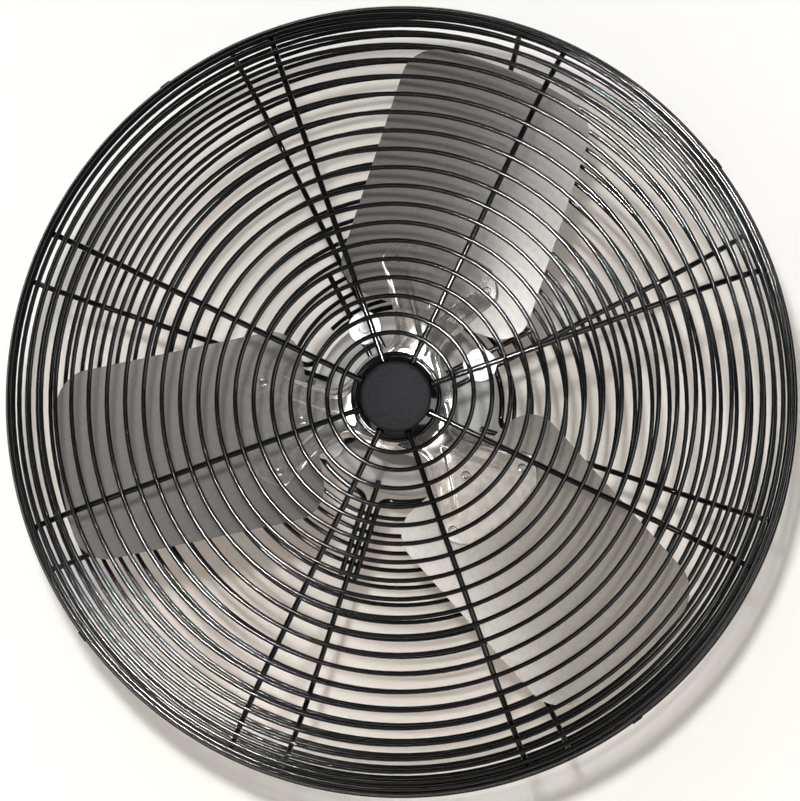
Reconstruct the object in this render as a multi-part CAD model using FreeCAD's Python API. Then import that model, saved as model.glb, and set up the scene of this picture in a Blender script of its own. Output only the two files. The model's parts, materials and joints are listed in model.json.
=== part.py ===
import FreeCAD
import Part

import math
import os

from FreeCAD import Vector

# Basket fan of the 24 inch class: a three-blade propeller on the shaft of a round motor, inside a
# spiral-wound wire basket of two halves. Y is the fan's axis, the front faces -Y and +Z is up. The origin
# is the centre of the four mounting studs on the motor's back. Sizes are in millimetres and degrees, and
# angles run counterclockwise from +X as seen from the front.

# Wires of the basket
SPIRAL_WIRE = 4.0
SPOKE_WIRE = 5.0
RIM_WIRE = 6.0
WELD_SET = 0.3          # how far crossing wires sink into each other at a weld
TURN_PITCH = 15.5       # from turn to turn of a spiral, along the basket's profile
RIM_RADIUS = 342.0      # centreline of the rim rings
SHOULDER_RADIUS = 88.0  # bend of a spoke from the flat face into the side
RIM_STRAIGHT = 5.0      # side of the basket past the bend
RIM_GAP = 0.3           # between the two rim rings

# Front half of the basket
FRONT_SPOKE_COUNT = 8
FRONT_SPOKE_ANGLE = 19.4
FRONT_SPOKE_START = 31.0
FRONT_START_SPOKE = 2      # the spoke on which the front spiral begins
FRONT_SPIRAL_START = 47.0
LEAD_IN_TURNS = 0.5        # the front spiral begins with half a round turn
DISH_RADIUS = 38.5
DISH_THICKNESS = 2.0
DISH_LIP = 4.0
CAP_RADIUS = 30.0
CAP_FLAT_CUT = 0.9         # depth of the eight flats on the cap's edge
CAP_STAND = 1.3            # cap in front of the spiral
CAP_EDGE = 3.0
CAP_SCREW_RADIUS = 2.5
CAP_SCREW_HEAD = 4.75
CAP_SCREW_HEAD_HEIGHT = 3.0
CAP_SCREW_DEPTH = 6.0

# Rear half of the basket
REAR_SPOKE_COUNT = 4
REAR_SPOKE_ANGLE = 72.0
REAR_SPOKE_START = 72.0
MOUNT_WIRE_OFFSET = 7.0    # mounting wires run in pairs beside each bolt
MOUNT_WIRE_START = 42.0
SHORT_WIRE_END = 136.0
HOOP_RADIUS = 88.5         # each hoop lies on this circle between two single spokes
HOOP_LEG_OFFSET = 6.5      # its legs run outward beside those spokes
HOOP_LEG_END = 164.0
HOOP_BEND = 9.0            # how far its corners reach along both
REAR_SPIRAL_START = 94.0
REAR_SPIRAL_ANGLE = 134.0

# Clips round both rims
CLIP_COUNT = 4
CLIP_ANGLE = 36.6
CLIP_LENGTH = 10.0
CLIP_SHEET = 0.8
CLIP_CLEARANCE = 0.15

# Bolts that hold the rear half to the motor
GUARD_BOLT_COUNT = 4
GUARD_BOLT_ANGLE = 27.0
GUARD_BOLT_CIRCLE = 77.0
GUARD_BOLT_RADIUS = 3.0
GUARD_BOLT_DEPTH = 9.0
BOLT_HEAD_FLATS = 10.0
BOLT_HEAD_HEIGHT = 4.0
WASHER_RADIUS = 15.0
WASHER_THICKNESS = 2.0
BOLT_CLEARANCE = 0.4

# Motor casing
MOTOR_RADIUS = 82.5
MOTOR_LENGTH = 150.0
BELL_DEPTH = 45.0
BELL_PLATE = 12.0
BELL_WALL = 4.0
BELL_EDGE = 6.0
SHELL_WALL = 2.0
SPIGOT_LENGTH = 4.0
SPIGOT_WALL = 2.5
CASING_CLEARANCE = 0.02

# Through-bolts, whose rear ends are the mounting studs
STUD_CIRCLE = 74.0
STUD_COUNT = 4
STUD_ANGLE = 45.0
STUD_RADIUS = 3.0
STUD_SHANK = 2.6           # through-bolts inside the motor and in their nuts
STUD_REACH = 25.0
STUD_THREAD_DEPTH = 8.0
NUT_FLATS = 10.0
NUT_HEIGHT = 5.0
NUT_POCKET_RADIUS = 8.0
NUT_POCKET_DEPTH = 7.0

# Bearings and shaft
BEARING_BORE = 17.0
BEARING_OUTSIDE = 40.0
BEARING_WIDTH = 12.0
BALL_COUNT = 8
BALL_RADIUS = 3.35
GROOVE_CLEARANCE = 0.15
RACE_GAP = 4.1            # between the shoulders of the two races
CAGE_THICKNESS = 2.7
CAGE_WIDTH = 8.0
CAGE_CLEARANCE = 0.2
BEARING_LIP = 5.0
BEARING_LIP_RADIUS = 14.0
BEARING_BOSS_WALL = 8.0
WAVE_WASHER_THICKNESS = 1.5
WAVE_WASHER_WIDTH = 3.0
SHAFT_RADIUS = 7.9375
SHAFT_CORE_RADIUS = 10.0
SHAFT_PAST_SPIDER = 4.0
SLINGER_RADIUS = 13.0
SLINGER_THICKNESS = 2.6
SLINGER_GAP = 0.8

# Stator and rotor
CORE_LENGTH = 50.0
STATOR_BORE = 48.0
AIR_GAP = 0.5
SLOT_COUNT = 24
SLOT_WIDTH = 5.0
SLOT_DEPTH = 14.0
WINDING_INNER = 50.5
WINDING_OUTER = 67.0
WINDING_LENGTH = 16.0
END_RING_INNER = 32.0
END_RING_LENGTH = 10.0
END_RING_INSET = 1.0

# Terminal box on the motor's left
BOX_LENGTH = 74.0
BOX_HEIGHT = 60.0
BOX_DEPTH = 36.0          # from the casing to the box's edge
BOX_FLOOR = 3.5
BOX_WALL = 2.5
BOX_BACK = 18.0           # from the motor's back to the box
POST_RADIUS = 4.0
POST_INSET = 5.0          # from the box's outside to the middle of a corner post
LID_THICKNESS = 2.5
GASKET_THICKNESS = 1.5
LID_SCREW_RADIUS = 2.0
LID_SCREW_HEAD = 3.5
LID_SCREW_HEAD_HEIGHT = 2.2
LID_SCREW_DEPTH = 9.0
CAPACITOR_RADIUS = 14.0
CAPACITOR_LENGTH = 42.0
CAPACITOR_EDGE = 2.0
LEAD_HOLE_RADIUS = 6.0
LEAD_HOLE_BACK = 31.0     # from the motor's back to the lead hole
GROMMET_WALL = 2.0
GROMMET_FLANGE = 2.0
GLAND_THREAD = 8.0
GLAND_BORE = 4.5
GLAND_FLATS = 22.0
GLAND_HEX_HEIGHT = 7.0
GLAND_DOME_RADIUS = 9.5
GLAND_DOME_HEIGHT = 12.0
GLAND_NUT_FLATS = 21.0
GLAND_NUT_HEIGHT = 5.0
GLAND_BACK = 50.0         # from the motor's back to the gland
PLATE_HALF_ANGLE = 16.0
PLATE_LENGTH = 38.0
PLATE_THICKNESS = 0.5
PLATE_BED = 0.2           # adhesive under the rating plate

# Propeller
BLADE_COUNT = 3
BLADE_ANGLE = 71.7
BLADE_SET_BACK = 5.5      # blades behind the rim plane
BLADE_PITCH = 24.0
CAMBER_RADIUS = 430.0
SHEET_OVERSIZE = 1.5      # sheet before it is cut to its outline, as a share of the blade's half width
BLADE_SHEET = 1.2
BLADE_HALF_WIDTH = 84.5
BLADE_ROOT = 78.0
BLADE_TIP = 305.0
ROOT_CORNER = 28.0
TIP_CORNER = 26.0

# Spider, hub and rivets
SPIDER_SHEET = 1.6
SPIDER_DISC = 47.0
SPIDER_DISC_EDGE = 0.8     # how far the disc's edge stands out of the arms on both sides
SPIDER_DOME_RADIUS = 33.0
SPIDER_DOME_HEIGHT = 6.0
ARM_HALF_WIDTH = 22.0      # at the disc
ARM_START = 30.0
ARM_END = 80.0
ARM_END_HALF_WIDTH = 34.0  # where the neck runs into the plate
PLATE_HALF_WIDTH = 53.0
PLATE_SHOULDER = 112.0
PLATE_TIP = 140.0
PLATE_CORNER = 14.0
RIB_RADIUS = 2.6
RIB_SINK = 1.0             # of a rib's round into the arm's face
RIB_START = 46.0
RIB_START_OFFSET = 13.5
RIB_END = 104.0
RIB_END_OFFSET = 35.0
RIVET_RADIUS = 2.4
RIVET_HEAD = 4.6
RIVET_HEAD_HEIGHT = 2.0
RIVET_CLEARANCE = 0.1
RIVET_SEAT = 0.06          # under the edge of a rivet's head, which spans the plate's hollow
INNER_RIVET = 87.0
OUTER_RIVET = 122.0
OUTER_RIVET_ANGLE = 19.5
HUB_RADIUS = 19.0
HUB_LENGTH = 42.0
HUB_FLANGE = 31.0
HUB_FLANGE_THICKNESS = 4.0
HUB_RIVET_CIRCLE = 25.0
HUB_BORE_CLEARANCE = 0.03
SET_SCREW_RADIUS = 4.0
SET_SCREW_BACK = 12.0     # from the hub's rear end
SET_SCREW_PROUD = 1.0

# Places along the axis that follow from the sizes above
FRONT_FACE = -MOTOR_LENGTH
REAR_WIRE_Y = FRONT_FACE - SPOKE_WIRE / 2
RIM_PLANE = REAR_WIRE_Y - SHOULDER_RADIUS - RIM_STRAIGHT
FRONT_WIRE_Y = RIM_PLANE - SHOULDER_RADIUS - RIM_STRAIGHT
RIM_HALF_SPACE = (RIM_WIRE + RIM_GAP) / 2
BLADE_PLANE = RIM_PLANE + BLADE_SET_BACK
DISC_BACK = BLADE_PLANE + SPIDER_DISC_EDGE
DISC_FRONT = BLADE_PLANE - SPIDER_SHEET - SPIDER_DISC_EDGE
DOME_FRONT = DISC_FRONT - SPIDER_DOME_HEIGHT
CORE_MIDDLE = -MOTOR_LENGTH / 2
FRONT_BEARING_Y = FRONT_FACE + BEARING_LIP
REAR_BEARING_Y = -BEARING_LIP - WAVE_WASHER_THICKNESS - BEARING_WIDTH

# Radii of the basket that follow from the sizes above
SIDE_RADIUS = RIM_RADIUS - (RIM_WIRE + SPOKE_WIRE) / 2 + WELD_SET
FLAT_RADIUS = SIDE_RADIUS - SHOULDER_RADIUS
SPIRAL_LIFT = (SPIRAL_WIRE + SPOKE_WIRE) / 2 - WELD_SET

# Sides of the basket: where the spokes of each half lie, and which way its rim is
FRONT_HALF = (FRONT_WIRE_Y, 1)
REAR_HALF = (REAR_WIRE_Y, -1)

ORIGIN = Vector(0, 0, 0)
AXIS = Vector(0, 1, 0)
FORWARD = Vector(0, -1, 0)
QUARTER_TURN = 0.25
TANGENT_STEP = 1e-4
TOLERANCE = 1e-6


def rod(radius, y0, y1, x=0.0, z=0.0):
    """A round bar along the axis, from y0 to y1."""
    return Part.makeCylinder(radius, y1 - y0, Vector(x, y0, z), AXIS)


def tube(outer, inner, y0, y1):
    """A round tube about the axis, from y0 to y1."""
    return rod(outer, y0, y1).cut(rod(inner, y0, y1))


def hexagon(flats, y0, y1, x=0.0, z=0.0):
    """A hexagonal bar along the axis, from y0 to y1."""
    corner = flats / math.sqrt(3)
    turns = [math.radians(60 * k) for k in range(7)]
    points = [Vector(x + corner * math.cos(t), y0, z + corner * math.sin(t)) for t in turns]
    return Part.Face(Part.makePolygon(points)).extrude(Vector(0, y1 - y0, 0))


def spun(profile):
    """The solid of revolution about the axis of a closed profile of (radius, y) points."""
    points = [Vector(radius, y, 0) for radius, y in profile]
    face = Part.Face(Part.makePolygon(points + points[:1]))
    return face.revolve(ORIGIN, AXIS, 360)


def turned(shape, angle):
    """The shape turned about the axis, counterclockwise as seen from the front."""
    return shape.rotated(ORIGIN, FORWARD, angle)


def around(shape, count, first):
    """Copies of a shape that is drawn on the +X side, evenly spaced from the first angle."""
    return Part.makeCompound([turned(shape, first + 360.0 * k / count) for k in range(count)])


def on_circle(radius, angle):
    """X and Z of a point on a circle about the axis."""
    return radius * math.cos(math.radians(angle)), radius * math.sin(math.radians(angle))


def cut_all(shape, tools):
    """The shape with every tool cut out of it."""
    for tool in tools:
        shape = shape.cut(tool)
    return shape


def wire_tube(edges, diameter):
    """A round wire along a chain of edges that run on smoothly from each other."""
    first = edges[0]
    start = first.valueAt(first.FirstParameter)
    heading = first.tangentAt(first.FirstParameter)
    section = Part.Wire([Part.makeCircle(diameter / 2, start, heading)])
    return Part.Wire(edges).makePipeShell([section], True, False)


def profile_depth(reach, lift):
    """Radius and depth behind the face at a distance along the basket's profile.

    The profile is flat, then bends through a quarter circle into the side. Lift is how far it lies outside
    the centreline of the spokes."""
    bend = SHOULDER_RADIUS + lift
    if reach <= FLAT_RADIUS:
        return reach, -lift
    turn = min((reach - FLAT_RADIUS) / bend, math.pi / 2)
    past = max(0.0, reach - FLAT_RADIUS - bend * math.pi / 2)
    return FLAT_RADIUS + bend * math.sin(turn), SHOULDER_RADIUS - bend * math.cos(turn) + past


def spiral_end():
    """Distance along the profile at which a spiral meets its rim ring."""
    ring_depth = SHOULDER_RADIUS + RIM_STRAIGHT - RIM_HALF_SPACE
    depth = ring_depth - (RIM_WIRE + SPIRAL_WIRE) / 2 + WELD_SET
    bend = SHOULDER_RADIUS + SPIRAL_LIFT
    if depth > SHOULDER_RADIUS:
        return FLAT_RADIUS + bend * math.pi / 2 + depth - SHOULDER_RADIUS
    return FLAT_RADIUS + bend * math.acos((SHOULDER_RADIUS - depth) / bend)


def spiral_point(turns, half, start, angle, lead_in):
    """The spiral's centreline after a number of turns. Both halves are wound alike from outside."""
    wire_y, inward = half
    reach = start + TURN_PITCH * max(0.0, turns - lead_in)
    radius, depth = profile_depth(reach, SPIRAL_LIFT)
    x, z = on_circle(radius, angle + inward * 360.0 * turns)
    return Vector(x, wire_y + inward * depth, z)


def biarc(p0, t0, p1, t1):
    """Two arcs that join two points and run along both unit tangents."""
    chord = p1 - p0
    along = chord.dot(t0 + t1)
    spread = 2 * (1 - t0.dot(t1))
    reach = (math.sqrt(along * along + spread * chord.dot(chord)) - along) / spread
    corner0 = p0 + t0 * reach
    corner1 = p1 - t1 * reach
    middle = (corner0 + corner1) * 0.5
    return [corner_arc(p0, corner0, middle), corner_arc(middle, corner1, p1)]


def corner_arc(start, corner, end):
    """The arc that leaves start towards the corner and reaches end from it."""
    base = (start + end) * 0.5
    rise = corner - base
    half_turn = math.atan2(rise.Length, (end - start).Length / 2)
    crown = base + rise * (math.tan(half_turn / 2) / math.tan(half_turn))
    return Part.Arc(start, crown, end).toShape()


def spiral_wire(first, last, *place):
    """The stretch of a spiral between two counts of turns, on biarcs of at most a quarter turn."""
    count = math.ceil((last - first) / QUARTER_TURN)
    stations = [first + (last - first) * k / count for k in range(count + 1)]
    points = [spiral_point(t, *place) for t in stations]
    tangents = []
    for t in stations:
        ahead = spiral_point(t + TANGENT_STEP, *place)
        tangents.append((ahead - spiral_point(t - TANGENT_STEP, *place)).normalize())
    edges = []
    for k in range(count):
        edges += biarc(points[k], tangents[k], points[k + 1], tangents[k + 1])
    return wire_tube(edges, SPIRAL_WIRE)


def spiral_parts(half, start, angle, lead_in):
    """The flat and the bent stretch of one spiral, which meet face to face."""
    place = (half, start, angle, lead_in)
    flat_turns = lead_in + (FLAT_RADIUS - start) / TURN_PITCH
    all_turns = lead_in + (spiral_end() - start) / TURN_PITCH
    samples = [all_turns * k / 400 for k in range(401)]
    gaps = [
        (spiral_point(t + 1, *place) - spiral_point(t, *place)).Length - SPIRAL_WIRE
        for t in samples
        if t + 1 <= all_turns
    ]
    print("turns", round(all_turns, 2), "least gap between turns", round(min(gaps), 2))
    return spiral_wire(0.0, flat_turns, *place), spiral_wire(flat_turns, all_turns, *place)


def straight_wire(half, start, end, offset):
    """A straight wire on a half's flat face, drawn along +X with a sideways offset."""
    wire_y = half[0]
    length = end - start
    return Part.makeCylinder(SPOKE_WIRE / 2, length, Vector(start, wire_y, offset), Vector(1, 0, 0))


def bent_wire(half, start, offset):
    """A wire along +X that bends at the shoulder and ends inside its rim ring."""
    wire_y, inward = half
    rim_y = RIM_PLANE - inward * RIM_GAP / 2
    bend_y = wire_y + inward * SHOULDER_RADIUS
    crown = SHOULDER_RADIUS * math.sin(math.pi / 4)
    flat_end = Vector(FLAT_RADIUS, wire_y, offset)
    middle = Vector(FLAT_RADIUS + crown, bend_y - inward * crown, offset)
    side = Vector(SIDE_RADIUS, bend_y, offset)
    edges = [
        Part.makeLine(Vector(start, wire_y, offset), flat_end),
        Part.Arc(flat_end, middle, side).toShape(),
        Part.makeLine(side, Vector(SIDE_RADIUS, rim_y, offset)),
    ]
    return wire_tube(edges, SPOKE_WIRE)


def ring(radius, diameter, y):
    """A closed wire ring about the axis."""
    return Part.makeTorus(radius, diameter / 2, Vector(0, y, 0), AXIS)


def front_basket():
    """The front half: spiral, spokes, rim ring, hub dish, cap and its screw."""
    start_angle = FRONT_SPOKE_ANGLE + FRONT_START_SPOKE * 360.0 / FRONT_SPOKE_COUNT
    face, shoulder = spiral_parts(FRONT_HALF, FRONT_SPIRAL_START, start_angle, LEAD_IN_TURNS)
    spoke = bent_wire(FRONT_HALF, FRONT_SPOKE_START, 0.0)
    dish_front = FRONT_WIRE_Y + SPOKE_WIRE / 2 - WELD_SET
    dish_back = dish_front + DISH_THICKNESS
    lip_back = dish_front + DISH_LIP
    dish = spun([
        (CAP_SCREW_RADIUS + BOLT_CLEARANCE, dish_front),
        (DISH_RADIUS - DISH_THICKNESS, dish_front),
        (DISH_RADIUS, dish_back),
        (DISH_RADIUS, lip_back),
        (DISH_RADIUS - DISH_THICKNESS, lip_back),
        (DISH_RADIUS - DISH_THICKNESS, dish_back),
        (CAP_SCREW_RADIUS + BOLT_CLEARANCE, dish_back),
    ])
    return {
        "front_face_spiral": face,
        "front_shoulder_spiral": shoulder,
        "front_spokes": around(spoke, FRONT_SPOKE_COUNT, FRONT_SPOKE_ANGLE),
        "front_rim_ring": ring(RIM_RADIUS, RIM_WIRE, RIM_PLANE - RIM_HALF_SPACE),
        "front_hub_dish": dish,
        "centre_cap": centre_cap(dish_front),
        "cap_screw": cap_screw(dish_front, dish_back),
    }


def centre_cap(back):
    """The cap on the hub dish: a round disc with a flat between each two spokes and a rounded edge."""
    front = FRONT_WIRE_Y - SPIRAL_LIFT - SPIRAL_WIRE / 2 - CAP_STAND
    cap = rod(CAP_RADIUS, front, back)
    flat = Part.makeBox(
        CAP_FLAT_CUT, back - front, 2 * CAP_RADIUS, Vector(CAP_RADIUS - CAP_FLAT_CUT, front, -CAP_RADIUS)
    )
    between = FRONT_SPOKE_ANGLE + 180.0 / FRONT_SPOKE_COUNT
    cap = cap.cut(around(flat, FRONT_SPOKE_COUNT, between))
    edges = [e for e in cap.Edges if e.BoundBox.YMax < front + TOLERANCE]
    cap = cap.makeFillet(CAP_EDGE, edges)
    return cap.cut(rod(CAP_SCREW_RADIUS, back - CAP_SCREW_DEPTH, back))


def cap_screw(dish_front, dish_back):
    """The screw that holds the cap from behind."""
    shank = rod(CAP_SCREW_RADIUS, dish_front - CAP_SCREW_DEPTH, dish_back)
    return shank.fuse(rod(CAP_SCREW_HEAD, dish_back, dish_back + CAP_SCREW_HEAD_HEIGHT)).removeSplitter()


def rear_hoop():
    """A wire from one single spoke, drawn along +X, to the next.

    Its legs lie level with the spokes. Its middle steps back past the mounting wires that cross it."""
    half_gap = 180.0 / REAR_SPOKE_COUNT
    level = Vector(0, REAR_WIRE_Y, 0)
    step = Vector(0, SPOKE_WIRE - WELD_SET, 0)
    corner_angle = math.degrees((HOOP_LEG_OFFSET + HOOP_BEND) / HOOP_RADIUS)
    leg_out = level + Vector(HOOP_LEG_END, 0, HOOP_LEG_OFFSET)
    leg_in = level + Vector(HOOP_RADIUS + HOOP_BEND, 0, HOOP_LEG_OFFSET)
    points = [level + step + circle_point(HOOP_RADIUS, a) for a in (corner_angle, half_gap)]
    along = circle_point(1.0, corner_angle + 90.0)
    corner = biarc(leg_in, Vector(-1, 0, 0), points[0], along)
    mirror = [mirrored(point, half_gap) for point in (points[0], leg_in, leg_out)]
    heading = mirrored(Vector(1, 0, 0), half_gap)
    leaving = mirrored(along, half_gap) * -1
    edges = [Part.makeLine(leg_out, leg_in)] + corner
    edges.append(Part.Arc(points[0], points[1], mirror[0]).toShape())
    edges += biarc(mirror[0], leaving, mirror[1], heading)
    edges.append(Part.makeLine(mirror[1], mirror[2]))
    return wire_tube(edges, SPOKE_WIRE)


def circle_point(radius, angle):
    """A point on a circle about the axis, on the plane y 0."""
    x, z = on_circle(radius, angle)
    return Vector(x, 0, z)


def mirrored(point, angle):
    """A point mirrored about the plane through the axis at an angle."""
    turn = math.radians(2 * angle)
    x = point.x * math.cos(turn) + point.z * math.sin(turn)
    z = point.x * math.sin(turn) - point.z * math.cos(turn)
    return Vector(x, point.y, z)


def rear_basket():
    """The rear half: spiral, spokes, mounting wires, hoops and rim ring."""
    face, shoulder = spiral_parts(REAR_HALF, REAR_SPIRAL_START, REAR_SPIRAL_ANGLE, 0.0)
    spoke = bent_wire(REAR_HALF, REAR_SPOKE_START, 0.0)
    long_wire = bent_wire(REAR_HALF, MOUNT_WIRE_START, -MOUNT_WIRE_OFFSET)
    short_wire = straight_wire(REAR_HALF, MOUNT_WIRE_START, SHORT_WIRE_END, MOUNT_WIRE_OFFSET)
    return {
        "rear_face_spiral": face,
        "rear_shoulder_spiral": shoulder,
        "rear_spokes": around(spoke, REAR_SPOKE_COUNT, REAR_SPOKE_ANGLE),
        "rear_mount_wires": around(long_wire, GUARD_BOLT_COUNT, GUARD_BOLT_ANGLE),
        "rear_short_wires": around(short_wire, GUARD_BOLT_COUNT, GUARD_BOLT_ANGLE),
        "rear_hoops": around(rear_hoop(), REAR_SPOKE_COUNT, REAR_SPOKE_ANGLE),
        "rear_rim_ring": ring(RIM_RADIUS, RIM_WIRE, RIM_PLANE + RIM_HALF_SPACE),
    }


def obround(radius, length):
    """A bar across both rims, as wide as two circles of this radius round the rim wires."""
    low = -length / 2
    bars = [
        Part.makeCylinder(radius, length, Vector(RIM_RADIUS, RIM_PLANE + side * RIM_HALF_SPACE, low))
        for side in (-1, 1)
    ]
    corner = Vector(RIM_RADIUS - radius, RIM_PLANE - RIM_HALF_SPACE, low)
    web = Part.makeBox(2 * radius, 2 * RIM_HALF_SPACE, length, corner)
    return bars[0].fuse(bars[1]).fuse(web).removeSplitter()


def rim_clips():
    """Bands that hold the two rim rings together."""
    inside = RIM_WIRE / 2 + CLIP_CLEARANCE
    clip = obround(inside + CLIP_SHEET, CLIP_LENGTH).cut(obround(inside, CLIP_LENGTH))
    return around(clip, CLIP_COUNT, CLIP_ANGLE)


def guard_bolts():
    """The bolts and washers that clamp the mounting wires to the motor's face."""
    washer_back = REAR_WIRE_Y - SPOKE_WIRE / 2
    head_back = washer_back - WASHER_THICKNESS
    head = hexagon(BOLT_HEAD_FLATS, head_back - BOLT_HEAD_HEIGHT, head_back, GUARD_BOLT_CIRCLE)
    shank = rod(GUARD_BOLT_RADIUS, head_back, FRONT_FACE + GUARD_BOLT_DEPTH, GUARD_BOLT_CIRCLE)
    bolt = head.fuse(shank).removeSplitter()
    washer = rod(WASHER_RADIUS, head_back, washer_back, GUARD_BOLT_CIRCLE)
    hole = rod(GUARD_BOLT_RADIUS + BOLT_CLEARANCE, head_back, washer_back, GUARD_BOLT_CIRCLE)
    return {
        "guard_bolts": around(bolt, GUARD_BOLT_COUNT, GUARD_BOLT_ANGLE),
        "guard_washers": around(washer.cut(hole), GUARD_BOLT_COUNT, GUARD_BOLT_ANGLE),
    }


def bell(bearing_depth):
    """A motor bell with its outer face at y 0 and its mouth towards +Y, before any hole is cut."""
    seat = BEARING_OUTSIDE / 2
    inside = MOTOR_RADIUS - BELL_WALL
    cup = rod(MOTOR_RADIUS, 0, BELL_DEPTH).cut(rod(inside, BELL_PLATE, BELL_DEPTH))
    rim = [e for e in cup.Edges if e.BoundBox.YMax < TOLERANCE]
    cup = cup.makeFillet(BELL_EDGE, rim)
    boss_end = bearing_depth + BEARING_WIDTH
    boss = rod(seat + BEARING_BOSS_WALL, 0, boss_end)
    boss = boss.common(rod(MOTOR_RADIUS, BELL_PLATE, boss_end))
    spigot_outer = MOTOR_RADIUS - SHELL_WALL - CASING_CLEARANCE
    spigot_ends = (BELL_DEPTH - SPIGOT_LENGTH, BELL_DEPTH + SPIGOT_LENGTH)
    spigot = tube(spigot_outer, spigot_outer - SPIGOT_WALL, *spigot_ends)
    return cup.fuse(boss).fuse(spigot).cut(rod(seat, BEARING_LIP, boss_end)).removeSplitter()


def front_bell():
    """The bell behind the propeller, open at the shaft, with threaded holes for both kinds of bolt."""
    shape = bell(BEARING_LIP).cut(rod(BEARING_LIP_RADIUS, 0, BEARING_LIP))
    shape = shape.translated(Vector(0, FRONT_FACE, 0))
    bolt_hole = rod(GUARD_BOLT_RADIUS, FRONT_FACE, FRONT_FACE + GUARD_BOLT_DEPTH, GUARD_BOLT_CIRCLE)
    stud_start = FRONT_FACE + BELL_PLATE - STUD_THREAD_DEPTH
    stud_hole = rod(STUD_SHANK, stud_start, FRONT_FACE + BELL_PLATE, STUD_CIRCLE)
    return cut_all(shape, [
        around(bolt_hole, GUARD_BOLT_COUNT, GUARD_BOLT_ANGLE),
        around(stud_hole, STUD_COUNT, STUD_ANGLE),
    ])


def rear_bell():
    """The closed bell on the motor's back, with pockets for the nuts and a hole for the leads."""
    shape = bell(BEARING_LIP + WAVE_WASHER_THICKNESS).rotated(ORIGIN, Vector(0, 0, 1), 180)
    stud_hole = rod(STUD_RADIUS + BOLT_CLEARANCE, -BELL_PLATE, 0, STUD_CIRCLE)
    pocket = rod(NUT_POCKET_RADIUS, -NUT_POCKET_DEPTH, 0, STUD_CIRCLE)
    return cut_all(shape, [
        around(stud_hole, STUD_COUNT, STUD_ANGLE),
        around(pocket, STUD_COUNT, STUD_ANGLE),
        lead_bar(LEAD_HOLE_RADIUS, 0.0, MOTOR_RADIUS),
    ])


def casing():
    """Bells, shell, through-bolts and their nuts, and the bare rating plate."""
    shell_back = -BELL_DEPTH
    shell_front = FRONT_FACE + BELL_DEPTH
    shank = rod(STUD_SHANK, FRONT_FACE + BELL_PLATE - STUD_THREAD_DEPTH, 0, STUD_CIRCLE)
    stud = shank.fuse(rod(STUD_RADIUS, 0, STUD_REACH, STUD_CIRCLE))
    nut = hexagon(NUT_FLATS, -NUT_POCKET_DEPTH, NUT_HEIGHT - NUT_POCKET_DEPTH, STUD_CIRCLE)
    nut = nut.cut(rod(STUD_SHANK, -NUT_POCKET_DEPTH, NUT_HEIGHT - NUT_POCKET_DEPTH, STUD_CIRCLE))
    return {
        "motor_front_bell": front_bell(),
        "motor_shell": tube(MOTOR_RADIUS, MOTOR_RADIUS - SHELL_WALL, shell_front, shell_back),
        "motor_rear_bell": rear_bell(),
        "through_bolts": around(stud, STUD_COUNT, STUD_ANGLE),
        "through_bolt_nuts": around(nut, STUD_COUNT, STUD_ANGLE),
        "rating_plate": rating_plate(),
    }


def rating_plate():
    """The bare plate on top of the motor's shell."""
    inside = MOTOR_RADIUS + PLATE_BED
    outside = inside + PLATE_THICKNESS
    front = CORE_MIDDLE - PLATE_LENGTH / 2
    back = CORE_MIDDLE + PLATE_LENGTH / 2
    places = ((inside, front), (outside, front), (outside, back), (inside, back))
    corners = [Vector(radius, y, 0) for radius, y in places]
    strip = Part.Face(Part.makePolygon(corners + corners[:1])).revolve(ORIGIN, FORWARD, 2 * PLATE_HALF_ANGLE)
    return turned(strip, 90.0 - PLATE_HALF_ANGLE)


def stator_parts():
    """The slotted stator core and the winding heads on both its ends."""
    front = CORE_MIDDLE - CORE_LENGTH / 2
    back = CORE_MIDDLE + CORE_LENGTH / 2
    outer = MOTOR_RADIUS - SHELL_WALL - CASING_CLEARANCE
    core = tube(outer, STATOR_BORE, front, back)
    slot = Part.makeBox(
        SLOT_DEPTH, CORE_LENGTH, SLOT_WIDTH, Vector(WINDING_INNER, front, -SLOT_WIDTH / 2)
    )
    mouth = Part.makeBox(
        WINDING_INNER, CORE_LENGTH, SLOT_WIDTH / 2, Vector(0, front, -SLOT_WIDTH / 4)
    )
    slots = around(slot.fuse(mouth), SLOT_COUNT, 0.0)
    stud_hole = rod(STUD_RADIUS + BOLT_CLEARANCE, front, back, STUD_CIRCLE)
    core = cut_all(core, [slots, around(stud_hole, STUD_COUNT, STUD_ANGLE)])
    return {
        "stator_core": core,
        "stator_winding_front": tube(WINDING_OUTER, WINDING_INNER, front - WINDING_LENGTH, front),
        "stator_winding_rear": tube(WINDING_OUTER, WINDING_INNER, back, back + WINDING_LENGTH),
    }


def bearing(name, y):
    """A ball bearing that begins at y: two races, the balls and the cage that spaces them."""
    pitch = (BEARING_BORE + BEARING_OUTSIDE) / 4
    middle = y + BEARING_WIDTH / 2
    end = y + BEARING_WIDTH
    groove = Part.makeTorus(pitch, BALL_RADIUS + GROOVE_CLEARANCE, Vector(0, middle, 0), AXIS)
    inner = tube(pitch - RACE_GAP / 2, BEARING_BORE / 2, y, end).cut(groove)
    outer = tube(BEARING_OUTSIDE / 2, pitch + RACE_GAP / 2, y, end).cut(groove)
    ball = Part.makeSphere(BALL_RADIUS, Vector(pitch, middle, 0))
    pocket_radius = BALL_RADIUS + CAGE_CLEARANCE
    pocket = Part.makeCylinder(pocket_radius, 2 * pitch, Vector(0, middle, 0), Vector(1, 0, 0))
    cage_half = CAGE_THICKNESS / 2
    cage = tube(pitch + cage_half, pitch - cage_half, middle - CAGE_WIDTH / 2, middle + CAGE_WIDTH / 2)
    return {
        name + "_bearing_outer": outer,
        name + "_bearing_inner": inner,
        name + "_bearing_balls": around(ball, BALL_COUNT, 0.0),
        name + "_bearing_cage": cage.cut(around(pocket, BALL_COUNT, 0.0)),
    }


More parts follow.
